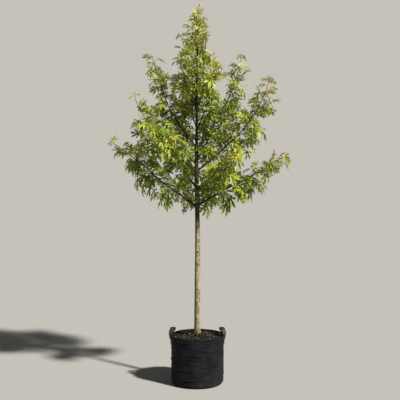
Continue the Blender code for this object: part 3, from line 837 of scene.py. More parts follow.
def wood_tree():
    """The limbs and the stem as plain tubes, to keep leaves from passing through them."""
    tubes = []
    for i, spec in enumerate(BOUGHS.values()):
        points, _ = bough_line(spec, 3.7 * (i + 1))
        n = len(points) - 1
        tubes.append((points, [bough_radius(spec, k / n) + 0.0006 for k in range(n + 1)]))
    heights = [1.0 + 0.02 * k for k in range(int((STEM_TIP - 1.0) / 0.02) + 1)]
    tubes.append(([stem_axis(z) for z in heights], [stem_radius(z) + 0.0006 for z in heights]))
    corners, polys = [], []
    for points, radii in tubes:
        verts, faces = tube(points, radii, 8)
        polys += [[int(c) + len(corners) for c in face] for group in faces for face in group]
        corners += verts.tolist()
    return BVHTree.FromPolygons(corners, polys)


WOOD = wood_tree()
BLADES = []  # the upper side of each leaf so far
CENTRES = np.zeros((8000, 3))


def put_leaf(mass, place, ahead, face, size, tone, rng):
    """Adds a leaf to the mass, turned aside from the wood and from the leaves already there where it can be.
    Returns False, adding nothing, if it would reach too far out or can't clear the wood."""
    shape, upper, lower = LEAF_SHAPES[rng.randrange(len(LEAF_SHAPES))]
    stretch = np.array([rng.uniform(0.90, 1.08), 1.0, rng.uniform(0.7, 1.5)])
    best = None
    for attempt in range(TRIES):
        way = unit(ahead + Vector([rng.gauss(0, 0.75 * attempt / TRIES) for _ in range(3)]))
        normal = unit(face - way * face.dot(way))
        turn = np.array([tuple(way.cross(normal)), tuple(way), tuple(normal)])
        verts = (shape * stretch * size * (1 - 0.2 * attempt / TRIES)) @ turn + np.array(tuple(place))
        if (verts < REACH_LOW).any() or (verts > REACH_HIGH).any():
            continue
        blade = BVHTree.FromPolygons(verts.tolist(), upper.tolist())
        if blade.overlap(WOOD):
            continue
        centre = verts.mean(0)
        if attempt and in_the_way(centre, size) > 0:
            continue
        near = np.nonzero(((CENTRES[:len(BLADES)] - centre) ** 2).sum(1) < 0.16 ** 2)[0]
        hits = sum(1 for k in near if blade.overlap(BLADES[k]))
        if best is None or hits < best[0]:
            best = hits, verts, centre, blade
        if hits == 0:
            break
    if best is None:
        return False
    _, verts, centre, blade = best
    CENTRES[len(BLADES)] = centre
    BLADES.append(blade)
    mass.leaves.add(verts, [upper], tone)
    mass.leaves.faces.append(lower + mass.leaves.count - len(verts))
    mass.leaves.mats.append(np.full(len(lower), tone + len(TONES), np.int32))
    mass.count += 1
    return True


def pick_tone(rng, youth, height, place):
    """Darker low down and inside, lighter and yellower towards the tips and the top."""
    # the shine term is painted light and shade on the listed sprays
    x = 0.70 + 1.75 * youth + 1.75 * height + 0.85 * shine(place) + rng.gauss(0, 0.75)
    if youth > 0.8 and rng.random() < 0.10:
        return 6
    return int(min(max(round(x), 0), 5))


def leaf_pair(mass, stalks, node, ahead, side, size, hang, youth, tone, rng, single=None):
    """Two opposite leaves at a node, each on its own petiole, held out and then hanging by its own weight."""
    slack = 0.028 if youth < 0.6 else 0.036
    for sign in (1, -1) if single is None else (single,):
        own = random.Random(rng.getrandbits(40))
        if own.random() < 0.11:
            continue
        fall_by = hang
        for attempt in range(5):
            out = unit(side * sign + ahead * own.uniform(0.35, 0.9) + UP * own.uniform(-0.1, 0.35))
            stalk = size * own.uniform(0.45, 0.75) * (1 - 0.14 * attempt)
            fall = fall_by * own.uniform(0.7, 1.3)
            second = unit(out + Vector((0, 0, -1)) * fall * 0.8)
            blade = unit(second * 0.75 + Vector((0, 0, -1)) * fall * 0.75 + Vector((own.gauss(0, 0.18), own.gauss(0, 0.18), own.gauss(0, 0.12))))
            end = node + out * stalk * 0.64 + second * stalk * 0.36
            if mass.depth(end + blade * size * 0.5) > -slack and mass.depth(end + blade * size) > -2.0 * slack:
                break
            fall_by *= 0.92
        else:
            continue
        if own.random() < in_the_way(end + blade * size * 0.5, size):
            continue
        line = petiole_line(node, out, second, stalk)
        red = 1 if youth > 0.6 or own.random() < 0.3 else 0
        face = UP * own.uniform(0.3, 0.9) + Vector((out.x, out.y, 0)) * own.uniform(0.5, 1.1) + Vector((own.gauss(0, 0.35), own.gauss(0, 0.35), 0))
        t = tone if own.random() < 0.65 else int(min(max(tone + own.choice((-2, -1, 1, 2)), 0), 5))
        if put_leaf(mass, line[-1], blade, face, size * own.uniform(0.86, 1.1), t, own):
            radius = 0.00055 + 0.004 * size
            verts, faces = tube(line, [radius * 1.5, radius, radius * 0.9, radius * 1.15], 3)
            stalks.add(verts, faces, red)


def shoot(mass, twigs, stalks, start, direction, length, radius, hang, height, youth, rng):
    """A side shoot with its opposite leaves and a tuft of young ones at its end."""
    while length > 0.016 and mass.depth(start + direction * length) < 0.012:
        length *= 0.82
    tone = pick_tone(rng, youth, height, start)
    steps = max(3, int(length / 0.012))
    points, p, d = [start], start, direction
    for i in range(steps):
        d = unit(d + UP * 0.10 * (0.4 + height) + Vector((rng.gauss(0, 0.07), rng.gauss(0, 0.07), rng.gauss(0, 0.05))))
        p = p + d * (length / steps)
        points.append(p)
    radii = [radius * (1 - 0.62 * i / steps) for i in range(steps + 1)]
    verts, faces = tube(points, radii, 6)
    twigs.add(verts, faces, 1 if youth > 0.55 else 0)
    nodes = max(1, round(length / 0.034))
    side = unit(d.cross(Vector((rng.gauss(0, 1), rng.gauss(0, 1), rng.gauss(0, 1)))))
    for i in range(1, nodes + 1):
        k = min(steps, max(1, round(i / nodes * steps)))
        ahead = unit(points[k] - points[k - 1])
        side = unit(ahead.cross(side))
        share = i / nodes
        size = (0.150 - 0.046 * youth - 0.027 * share * (0.4 + youth)) * rng.uniform(0.85, 1.08)
        leaf_pair(mass, stalks, points[k], ahead, side, size, hang * (1.05 - 0.35 * share), youth, tone, rng)
    young = min(1.0, youth + 0.3)
    side = unit(d.cross(side))
    leaf_pair(mass, stalks, points[-1], d, side, 0.078 - 0.026 * youth, hang * 0.45, young, min(5, tone + 1), rng)


LINES = {}


def grow_bough(name, spec, seed, bark, twigs, stalks, masses):
    rng = random.Random(1000 + seed * 17)
    mass = masses["leaves_" + name]
    points, length = bough_line(spec, 3.7 * seed)
    LINES[name] = points
    n = len(points) - 1
    bare = spec[7]
    s = length * bare + 0.012
    nodes = []
    while s < length - 0.004:
        nodes.append(s)
        s += (0.060 if spec[6] > 0.006 else 0.050) * (1.12 - 0.45 * s / length) * rng.uniform(0.85, 1.15)
    bark_bough(bark, spec, points, length, nodes)
    top = 3.2
    for i, s in enumerate(nodes):
        share = s / length
        u = (share - bare) / (1 - bare)
        k = min(n - 1, int(share * n))
        f = share * n - k
        here = points[k].lerp(points[k + 1], f)
        ahead = unit(points[k + 1] - points[k])
        _, _, side, up = bough_frame(spec, share)
        axis = side if i % 2 else up
        axis = unit(axis + Vector((rng.gauss(0, 0.25), rng.gauss(0, 0.25), rng.gauss(0, 0.25))))
        axis = unit(axis - ahead * axis.dot(ahead))
        height = min(max((here.z - 1.4) / (top - 1.4), 0.0), 1.0)
        hang = 0.80 - 0.42 * height - 0.15 * u
        reach = mass_radius(spec, u)
        for sign in (1, -1):
            if u > 0.80 or (u > 0.6 and rng.random() < 0.35):
                youth = min(1.0, 0.45 + 0.6 * u)
                size = (0.104 - 0.050 * (u - 0.5)) * rng.uniform(0.85, 1.05)
                tone = pick_tone(rng, youth, height, here)
                leaf_pair(mass, stalks, here, ahead, axis, size, hang, youth, tone, rng, single=sign)
            else:
                youth = min(1.0, 0.10 + 0.55 * u + 0.2 * rng.random())
                lean = rng.uniform(0.55, 1.0)
                d = unit(axis * sign + ahead * lean)
                span = reach * rng.uniform(0.42, 0.78) * (1.0 if sign > 0 or i % 2 else 0.9)
                shoot(mass, twigs, stalks, here, d, span, 0.0011 + 0.10 * bough_radius(spec, share), hang, height, youth, rng)
    end, ahead = points[-1], unit(points[-1] - points[-3])
    tone = pick_tone(rng, 1.0, 0.5, end)
    side = unit(ahead.cross(UP))
    for k in range(3):
        side = unit(ahead.cross(side) + side * 0.3)
        leaf_pair(mass, stalks, end + ahead * 0.004 * k, ahead, side, 0.060 - 0.012 * k, 0.35, 1.0, min(6, tone), rng)


def grow_leader(twigs, stalks, masses):
    """The top of the stem: opposite side shoots that shorten to a tuft of young leaves."""
    rng = random.Random(77)
    mass = masses["leaves_leader"]
    z = 2.845
    i = 0
    side = Vector((1, 0.2, 0)).normalized()
    while z < STEM_TIP - 0.01:
        here = stem_axis(z)
        u = (z - 2.845) / (STEM_TIP - 2.845)
        axis = unit(Matrix.Rotation(math.radians(90 * (i % 2) + rng.uniform(-18, 18)), 3, "Z") @ side)
        for sign in (1, -1):
            youth = min(1.0, 0.55 + 0.5 * u)
            if u < 0.72:
                d = unit(axis * sign + UP * rng.uniform(0.7, 1.1))
                shoot(mass, twigs, stalks, here, d, 0.050 * (1.15 - u) * rng.uniform(0.8, 1.1), 0.0015, 0.42, 1.0, youth, rng)
            leaf_pair(mass, stalks, here, UP, axis * (1 - 0.55 * u), 0.072 - 0.036 * u, 0.36 - 0.2 * u, youth, pick_tone(rng, youth, 0.9, here), rng, single=sign)
        z += 0.040 * (1.1 - 0.45 * u)
        i += 1
    for k in range(3):
        axis = unit(Matrix.Rotation(math.radians(60 * k), 3, "Z") @ side)
        leaf_pair(mass, stalks, stem_axis(STEM_TIP) + UP * 0.004 * k, UP, axis * 0.4, 0.042 - 0.008 * k, 0.05, 1.0, 5 if k else 4, rng)


def grow_spurs(twigs, stalks, masses):
    """A few short leafy spurs on the boughs' bare feet."""
    rng = random.Random(91)
    tiers = sorted(BOUGHS.items(), key=lambda kv: kv[1][0])
    for name, spec in tiers:
        if spec[0] > 2.55:
            continue
        mass = masses["leaves_" + name]
        for share in (0.10, 0.17):
            t = spec[7] * (0.45 + share * 2.6)
            here, ahead, side, up = bough_frame(spec, t)
            if rng.random() < 0.75:
                keep = mass.depth
                mass.depth = lambda p: 0.05
                axis = side if rng.random() < 0.5 else up
                d = unit(axis * rng.choice((-1, 1)) + ahead * 0.7)
                height = min(max((here.z - 1.4) / 1.8, 0.0), 1.0)
                shoot(mass, twigs, stalks, here, d, rng.uniform(0.03, 0.06), 0.0016, 0.85 - 0.4 * height, height, 0.15, rng)
                mass.depth = keep


FILLS = (  # limb, mass, x, z, depth from the limb, hang, youth: sprays that reach further than the limb's other shoots
    ("upper_left", "upper_left", -0.229, 2.217, 0.02, 0.6, 0.3), ("upper_left", "upper_left", -0.280, 2.262, 0.02, 0.5, 0.4),
    ("upper_left", "upper_left", -0.169, 2.277, 0.09, 0.5, 0.3), ("upper_left", "upper_left", -0.203, 2.353, 0.09, 0.5, 0.4),
    ("upper_left", "upper_left", -0.271, 2.515, 0.04, 0.4, 0.5), ("upper_left", "upper_left", -0.356, 2.670, 0.00, 0.3, 0.7),
    ("mid_left", "mid_left", -0.484, 2.217, 0.00, 0.5, 0.5), ("mid_left", "mid_left", -0.441, 1.988, 0.00, 0.7, 0.3),
    ("low_left", "low_left", -0.500, 1.780, 0.02, 0.5, 0.6), ("low_left", "low_left", -0.339, 1.673, 0.06, 0.6, 0.3),
    ("low_left", "low_left", -0.220, 1.530, 0.03, 0.9, 0.2), ("mid_right", "mid_right", 0.443, 1.990, -0.02, 0.5, 0.5),
    ("mid_right", "mid_right", 0.196, 1.980, 0.08, 0.6, 0.4), ("mid_right", "mid_right", 0.171, 2.047, 0.08, 0.6, 0.4),
    ("mid_right", "mid_right", 0.536, 2.158, 0.02, 0.5, 0.6), ("mid_right", "mid_right", 0.590, 2.345, 0.02, 0.4, 0.7),
    ("upper_right", "upper_right", 0.324, 2.260, 0.02, 0.5, 0.4), ("upper_right", "upper_right", 0.273, 2.438, 0.05, 0.5, 0.5),
    ("low_right", "low_right", 0.240, 1.530, 0.00, 0.9, 0.2), ("low_right", "low_right", 0.345, 1.560, 0.00, 0.8, 0.1),
    ("low_right", "low_right", 0.620, 1.820, 0.00, 0.4, 0.8), ("stem", "foot_right", 0.090, 1.540, 0.03, 0.7, 0.3),
    ("stem", "inner_right", 0.062, 1.585, -0.05, 0.7, 0.4), ("stem", "inner_right", 0.145, 1.614, 0.04, 0.6, 0.3),
    ("stem", "core_right", 0.085, 1.900, 0.03, 0.6, 0.3), ("mid_right", "mid_right", 0.190, 1.870, 0.05, 0.8, 0.2),
    ("mid_right", "mid_right", 0.280, 1.925, 0.03, 0.8, 0.3), ("upper_left", "upper_left", -0.300, 2.440, 0.05, 0.5, 0.4),
    ("upper_left", "upper_left", -0.310, 2.215, 0.04, 0.6, 0.3), ("upper_left", "upper_left", -0.100, 2.160, 0.06, 0.6, 0.3),
    ("mid_right", "mid_right", 0.500, 2.240, 0.02, 0.5, 0.5), ("mid_right", "mid_right", 0.445, 2.280, 0.03, 0.4, 0.4),
    ("upper_right", "upper_right", 0.262, 2.490, 0.03, 0.4, 0.6), ("stem", "core_right", 0.050, 1.875, -0.04, 0.6, 0.3),
    ("stem", "high_left", -0.065, 2.250, 0.05, 0.5, 0.3), ("mid_right", "mid_right", 0.366, 2.110, -0.03, 0.5, 0.4),
    ("stem", "foot_right", 0.070, 1.530, 0.06, 0.6, 0.3), ("upper_left", "upper_left", -0.240, 2.390, 0.00, 0.5, 0.4),
)


def grow_fills(twigs, stalks, masses):
    rng = random.Random(53)
    for limb, name, x, z, depth, hang, youth in FILLS:
        mass = masses["leaves_" + name]
        line = [stem_axis(1.45 + 0.008 * i) for i in range(185)] if limb == "stem" else LINES[limb][8:-2]
        start = min(line, key=lambda p: math.hypot(facing(p)[0] - x, facing(p)[1] - z))
        if limb == "stem":
            start = stem_axis(max(start.z - 0.03, 1.46))
        k = (start.y - VIEWPOINT[1]) / -VIEWPOINT[1]
        target = Vector((VIEWPOINT[0] + (x - VIEWPOINT[0]) * k, start.y + depth, VIEWPOINT[2] + (z - VIEWPOINT[2]) * k))
        d = target - start
        if d.length < 0.035:
            d = Vector((rng.uniform(-0.5, 0.5), -0.6, 0.7)).normalized() * 0.06
        height = min(max((start.z - 1.4) / 1.8, 0.0), 1.0)
        keep = mass.depth
        mass.depth = lambda p: 0.05
        shoot(mass, twigs, stalks, start, unit(d), min(d.length, 0.15), 0.0018, hang, height, youth, random.Random(rng.getrandbits(40)))
        mass.depth = keep


# ================================================================ the planter
def soil_height(r):
    t = max(0.0, r - 0.042) / MOUND_REACH
    return SOIL_EDGE + (SOIL_TOP - SOIL_EDGE) * math.exp(-t * t * 1.4)


def taper(z):
    return 1 - POT_TAPER * (1 - min(max(z, 0.0) / POT_HEIGHT, 1.0))


def build_pot():
    cols = 420
    edge = POT_RADIUS - POT_FOOT_RADIUS
    rows = [(0.03, 0.0), (0.07, 0.0), (0.11, 0.0), (0.15, 0.0), (0.18, 0.0)]
    for i in range(13):
        a = math.pi / 2 * i / 12
        rows.append((POT_FOOT_RADIUS + edge * math.sin(a), edge * (1 - math.cos(a))))
    wall_top = POT_HEIGHT - 0.0016
    count = 132
    for i in range(1, count + 1):
        rows.append((POT_RADIUS, edge + (wall_top - edge) * i / count))
    for i in range(1, 6):
        a = math.pi * i / 6
        rows.append((POT_RADIUS - 0.0016 + 0.0016 * math.cos(a), wall_top + 0.0016 * math.sin(a)))
    inner_from = len(rows)
    for i in range(12):
        rows.append((POT_RADIUS - 0.0034, wall_top - 0.0012 - 0.0045 * i))
    rows = np.array(rows)
    th = 2 * np.pi * np.arange(cols) / cols
    R = np.repeat(rows[:, :1], cols, 1)
    Z = np.repeat(rows[:, 1:], cols, 1)
    T = np.repeat(th[None, :], len(rows), 0)
    R = R * (1 - POT_TAPER * (1 - np.clip(Z / POT_HEIGHT, 0, 1)))

    rng = np.random.default_rng(12)
    on_wall = np.clip((Z - 0.006) / 0.05, 0, 1)
    disp = np.zeros_like(R)
    # broad unevenness of a filled bag
    for k in range(9):
        kt, kz = rng.integers(2, 7), rng.uniform(6, 22)
        disp += 0.0010 * rng.uniform(0.4, 1.0) * np.sin(kt * T + rng.uniform(0, 6.3)) * np.sin(kz * Z + rng.uniform(0, 6.3))
    # soft folds that run round the bag: long ones, then small ones between them
    crease = np.zeros_like(R)
    for k in range(150):
        long = k < 60
        t0, z0 = rng.uniform(0, 2 * np.pi), rng.uniform(0.045, 0.345)
        half = (rng.uniform(0.035, 0.105) if long else rng.uniform(0.012, 0.045)) / POT_RADIUS
        width = rng.uniform(0.0050, 0.0100) if long else rng.uniform(0.0025, 0.0050)
        tilt = rng.normal(0, 0.09)
        bow = rng.normal(0.4, 0.8)
        dt = (T - t0 + np.pi) % (2 * np.pi) - np.pi
        x = dt / half
        line = z0 + tilt * dt * POT_RADIUS + bow * (dt * POT_RADIUS) ** 2
        fade = np.clip(1 - x * x, 0, 1) ** 1.3
        g = (Z - line) / width
        lift = rng.uniform(0.0020, 0.0040) if long else rng.uniform(0.0006, 0.0016)
        crease += fade * lift * (np.exp(-g * g) - 0.75 * np.exp(-((g + 1.5) ** 2)))
    # small upright puckers pulled in by the hem's stitches
    pucker = 0.0007 * np.sin(46 * T + 2.0 * np.sin(3 * T)) + 0.0005 * np.sin(73 * T + 1.3)
    hem_low = POT_HEIGHT - HEM_DEPTH
    near_hem = np.exp(-(((Z - hem_low) / 0.013) ** 2))
    below_hem = np.clip((hem_low - Z) / 0.010, 0, 1)
    disp += crease * np.where(Z < hem_low, below_hem, 0.35)
    disp += pucker * near_hem
    # the hem: a turned, doubled band with a rounded lower edge and a stitched line
    in_hem = np.clip((Z - hem_low) / 0.0022, 0, 1)
    puff = np.sin(np.clip((Z - hem_low) / HEM_DEPTH, 0, 1) * np.pi)
    disp += in_hem * (0.0013 + 0.0034 * puff)
    for z in (hem_low + 0.005, hem_low + 0.011):
        disp -= 0.0010 * np.exp(-(((Z - z) / 0.0012) ** 2))
    disp -= 0.0030 * np.exp(-(((Z - hem_low + 0.0030) / 0.0032) ** 2))
    # the base panel's seam, where the wall is sewn to the bottom
    disp += 0.0020 * np.exp(-(((Z - 0.030) / 0.0030) ** 2)) - 0.0016 * np.exp(-(((Z - 0.0365) / 0.0022) ** 2))
    # the upright side seam at the back
    dt = (T - 1.95 + np.pi) % (2 * np.pi) - np.pi
    seam = np.clip(1 - np.abs(dt * POT_RADIUS) / 0.009, 0, 1)
    disp += 0.0016 * np.clip(seam * 4, 0, 1) * (Z > 0.04)
    disp *= on_wall
    inner = np.zeros_like(R, bool)
    inner[inner_from - 3 :] = True
    wave = 0.0016 * np.sin(3 * T + 0.8) + 0.0011 * np.sin(5 * T + 2.1)
    rim = np.clip((Z - 0.33) / 0.08, 0, 1)
    R = R + np.where(inner, 0.0006, disp) + wave * rim
    Zs = Z + rim * (0.0014 * np.sin(4 * T + 1.1) + 0.0008 * np.sin(9 * T)) * 0.8
    Zs = np.maximum(Zs, 0.0)
    verts = np.stack([R * np.cos(T), R * np.sin(T), Zs], -1).reshape(-1, 3)
    n = len(verts)
    verts = np.concatenate([verts, [[0, 0, 0.0], [0, 0, float(rows[-1, 1])]]])
    i = np.arange(cols)
    j = (i + 1) % cols
    faces = [
        grid_faces(len(rows), cols),
        np.stack([j, i, np.full(cols, n)], -1),
        np.stack([n - cols + i, n - cols + j, np.full(cols, n + 1)], -1),
    ]
    b = Build()
    b.add(verts, faces)
    return b.mesh("woven_planter", [weave_material()])


def weave_height(m, radius, pitch):
    """Plain weave of flat tapes, as a height from 0 to 1."""
    along, up = m.round_place(radius)
    u = m.math("MULTIPLY", along, math.pi / pitch)
    v = m.math("MULTIPLY", up, math.pi / pitch)
    su, sv = m.math("SINE", u), m.math("SINE", v)
    over = m.math("MULTIPLY", su, sv)
    warp = m.math("POWER", m.math("ABSOLUTE", m.math("SINE", u)), 0.35)
    weft = m.math("POWER", m.math("ABSOLUTE", m.math("SINE", v)), 0.35)
    pick = m.math("GREATER_THAN", over, 0.0)
    a = m.math("MULTIPLY", pick, warp)
    b = m.math("MULTIPLY", m.math("SUBTRACT", 1.0, pick), weft)
    return m.math("ADD", a, b), pick


def weave_material():
    m = Nodes("black_weave", 0.5, 0.03)
    height, pick = weave_height(m, POT_RADIUS, 0.0026)
    wide = m.noise(9, 4, 0.6)
    fine = m.noise(70, 3)
    colour = m.ramp(wide, (0.35, srgb(20, 21, 23)), (0.70, srgb(40, 41, 44)))
    colour = m.mix(m.math("MULTIPLY", pick, 0.30), colour, srgb(41, 41, 45))
    low = m.height_share(0.055, 0.002)
    dust = m.math("MULTIPLY", low, m.ramp(fine, (0.46, 0.0), (0.72, 0.45)))
    colour = m.mix(dust, colour, srgb(92, 84, 72))
    scuff = m.ramp(m.noise(28, 5, 0.7), (0.62, 0.0), (0.78, 0.16))
    colour = m.mix(scuff, colour, srgb(74, 74, 74))
    m.colour(colour)
    m.roughness(m.ramp(m.noise(16, 4), (0.35, 0.46), (0.65, 0.58)))
    first = m.bump(height, 0.40, 0.0005)
    m.bump(m.noise(40, 4), 0.30, 0.0022, first)
    return m.mat


def stitch_run(build, places, radius=0.0007):
    """Short thread stitches between pairs of points, each a little proud of the cloth."""
    for a, b, out in places:
        mid = (a + b) / 2 + out * radius * 0.9
        verts, faces = tube([a - out * radius, a.lerp(mid, 0.45) + out * radius * 0.5, mid, b.lerp(mid, 0.45) + out * radius * 0.5, b - out * radius],
                            [radius * 0.8, radius, radius, radius, radius * 0.8], 6)
        build.add(verts, faces)


def build_hem_stitches(build):
    hem_low = POT_HEIGHT - HEM_DEPTH
    for row in (hem_low + 0.005, hem_low + 0.011):
        count = 232
        places = []
        for i in range(count):
            ends = []
            for k in (0.08, 0.80):
                a = 2 * math.pi * (i + k) / count
                wave = 0.0016 * math.sin(3 * a + 0.8) + 0.0011 * math.sin(5 * a + 2.1)
                lift = 0.0014 * math.sin(4 * a + 1.1) + 0.0008 * math.sin(9 * a)
                rim = (row - 0.33) / 0.08
                pucker = 0.0007 * math.sin(46 * a + 2.0 * math.sin(3 * a)) + 0.0005 * math.sin(73 * a + 1.3)
                pucker *= math.exp(-(((row - hem_low) / 0.013) ** 2))
                puff = 0.0006 + 0.0034 * math.sin(math.pi * (row - hem_low) / HEM_DEPTH)
                broad = POT_RADIUS * taper(row) + puff + pucker + wave * rim
                ends.append(Vector((broad * math.cos(a), broad * math.sin(a), row + rim * lift * 0.8)))
            out = Vector((ends[0].x, ends[0].y, 0)).normalized()
            places.append((ends[0], ends[1], out))
        stitch_run(build, places)


def spline(rows, count):
    """Points of a smooth curve through rows of numbers, evenly by index."""
    rows = np.array(rows, float)
    padded = np.concatenate([[2 * rows[0] - rows[1]], rows, [2 * rows[-1] - rows[-2]]])
    out = []
    spans = len(rows) - 1
    for i in range(count):
        x = spans * i / (count - 1)
        k = min(int(x), spans - 1)
        t = x - k
        p0, p1, p2, p3 = padded[k : k + 4]
        out.append(
            0.5 * (2 * p1 + (p2 - p0) * t + (2 * p0 - 5 * p1 + 4 * p2 - p3) * t * t + (3 * p1 - p0 - 3 * p2 + p3) * t**3)
        )
    return np.array(out)


def build_handle(name, side, mat, stitches):
    """A webbing loop sewn to the wall with boxed stitches at each end."""
    path = [(d, -a, z, -tw) for d, a, z, tw in HANDLE_LEG]
    path += [(d, a, z, -tw) for d, a, z, tw in reversed(HANDLE_LEG[:-1])]
    rows = spline(path, 150)
    turn = math.pi - HANDLE_TURN if side < 0 else HANDLE_TURN
    points, radials = [], []
    for d, a, z, _ in rows:
        ang = math.radians(a) + turn
        radial = Vector((math.cos(ang), math.sin(ang), 0))
        points.append(radial * d + UP * z)
        radials.append(radial)
    section = []
    m = 14
    for i in range(m + 1):
        x = -1 + 2 * i / m
        section.append((x, 1.0 - 0.35 * abs(x) ** 12 + 0.10 * math.cos(x * math.pi * 6) * (abs(x) > 0.8)))
    for i in range(m, -1, -1):
        x = -1 + 2 * i / m
        section.append((x, -1.0 + 0.35 * abs(x) ** 12))
    k = len(section)
    verts = []
    frames = []
    for i in range(len(rows)):
        ahead = unit(points[min(i + 1, len(points) - 1)] - points[max(i - 1, 0)])
        normal = unit(radials[i] - ahead * radials[i].dot(ahead))
        normal = Matrix.Rotation(math.radians(rows[i][3]), 3, ahead) @ normal
        across = ahead.cross(normal)
        frames.append((points[i], ahead, normal, across))
        cup = 0.0010 * smoothstep(6, 40, abs(rows[i][3]))
        for x, y in section:
            bend = normal * (-cup * 2 * x * x)
            verts.append(tuple(points[i] + across * x * STRAP_WIDTH / 2 + normal * y * STRAP_THICK / 2 + bend))
    n = len(rows)
    verts.append(tuple(points[0]))
    verts.append(tuple(points[-1]))
    i = np.arange(k)
    j = (i + 1) % k
    faces = [
        grid_faces(n, k),
        np.stack([j, i, np.full(k, n * k)], -1),
        np.stack([(n - 1) * k + i, (n - 1) * k + j, np.full(k, n * k + 1)], -1),
    ]
    b = Build()
    b.add(verts, faces)
    piece = add_object(name, b.mesh(name, [mat], sharp=50))
    # boxed cross stitch near each sewn end
    for at, into in ((0, 1), (n - 1, -1)):
        p, ahead, normal, across = frames[at]
        out = normal if normal.dot(radials[at]) > 0 else -normal
        ahead = ahead * into
        w, h = STRAP_WIDTH / 2 - 0.004, 0.026
        corners = [p + ahead * 0.004 + across * w, p + ahead * 0.004 - across * w,
                   p + ahead * (0.004 + h) - across * w, p + ahead * (0.004 + h) + across * w]
        corners = [c + out * STRAP_THICK / 2 for c in corners]
        lines = [(0, 1), (1, 2), (2, 3), (3, 0), (0, 2), (1, 3)]
        places = []
        for a, c in lines:
            start, stop = corners[a], corners[c]
            steps = max(3, int((stop - start).length / 0.0040))
            for q in range(steps):
                places.append((start.lerp(stop, (q + 0.1) / steps), start.lerp(stop, (q + 0.85) / steps), out))
        stitch_run(stitches, places, 0.0006)
    return piece


def webbing_material():
    m = Nodes("webbing", 0.55, 0.4)
    wave = m.add("ShaderNodeTexWave", {"Vector": m.place, "Scale": 260.0, "Distortion": 0.0}, bands_direction="DIAGONAL").outputs[1]
    cross = m.add("ShaderNodeTexWave", {"Vector": m.place, "Scale": 190.0, "Distortion": 0.0}, bands_direction="Z").outputs[1]
    height = m.math("MULTIPLY", wave, cross)
    grime = m.noise(26, 4, 0.6)
    # Painted shade and highlight: the strap is darker where its weave sinks and lighter on its raised yarns.
    colour = m.ramp(height, (0.1, srgb(24, 26, 28)), (0.8, srgb(56, 60, 64)))
    colour = m.mix(m.ramp(grime, (0.5, 0.0), (0.75, 0.45)), colour, srgb(92, 94, 94))
    m.colour(colour)
    m.roughness(m.ramp(grime, (0.35, 0.42), (0.65, 0.60)))
    m.bump(height, 0.6, 0.0006)
    return m.mat


# ================================================================ the compost
def build_soil():
    cols, count = 220, 84
    r_out = POT_RADIUS - 0.0052
    verts = []
    for i in range(1, count + 1):
        r = r_out * (i / count) ** 0.9
        for j in range(cols):
            a = 2 * math.pi * j / cols
            p = Vector((r * math.cos(a), r * math.sin(a), 0))
            z = soil_height(r)
            z += 0.0042 * noise.noise(p * 26) + 0.0030 * noise.noise(p * 70 + Vector((3, 1, 2))) + 0.0014 * noise.noise(p * 190)
            z -= 0.004 * smoothstep(r_out - 0.02, r_out, r)
            verts.append((p.x, p.y, z))
    for dz in (0.010, 0.030):
        for j in range(cols):
            a = 2 * math.pi * j / cols
            verts.append((r_out * math.cos(a), r_out * math.sin(a), SOIL_EDGE - dz - 0.004))
    n = len(verts)
    verts += [(0, 0, SOIL_TOP), (0, 0, SOIL_EDGE - 0.034)]
    i = np.arange(cols)
    j = (i + 1) % cols
    top = grid_faces(count + 2, cols)[:, ::-1]
    faces = [top, np.stack([i, j, np.full(cols, n)], -1), np.stack([n - cols + j, n - cols + i, np.full(cols, n + 1)], -1)]
    b = Build()
    b.add(verts, faces)
    return b.mesh("compost", [compost_material()])


def compost_material():
    m = Nodes("compost", 0.95, 0.2)
    lumps = m.voronoi(120, feature="F1", output="Color")
    grains = m.noise(240, 4, 0.7)
    colour = m.ramp(m.add("ShaderNodeSeparateColor", {0: lumps}).outputs[0],
                    (0.2, srgb(17, 14, 12)), (0.6, srgb(34, 29, 25)), (0.92, srgb(62, 55, 47)))
    colour = m.mix(m.ramp(grains, (0.58, 0.0), (0.78, 0.6)), colour, srgb(84, 76, 66))
    m.colour(colour)
    first = m.bump(grains, 0.8, 0.0018)
    m.bump(m.voronoi(160), 0.6, 0.0020, first)
    return m.mat


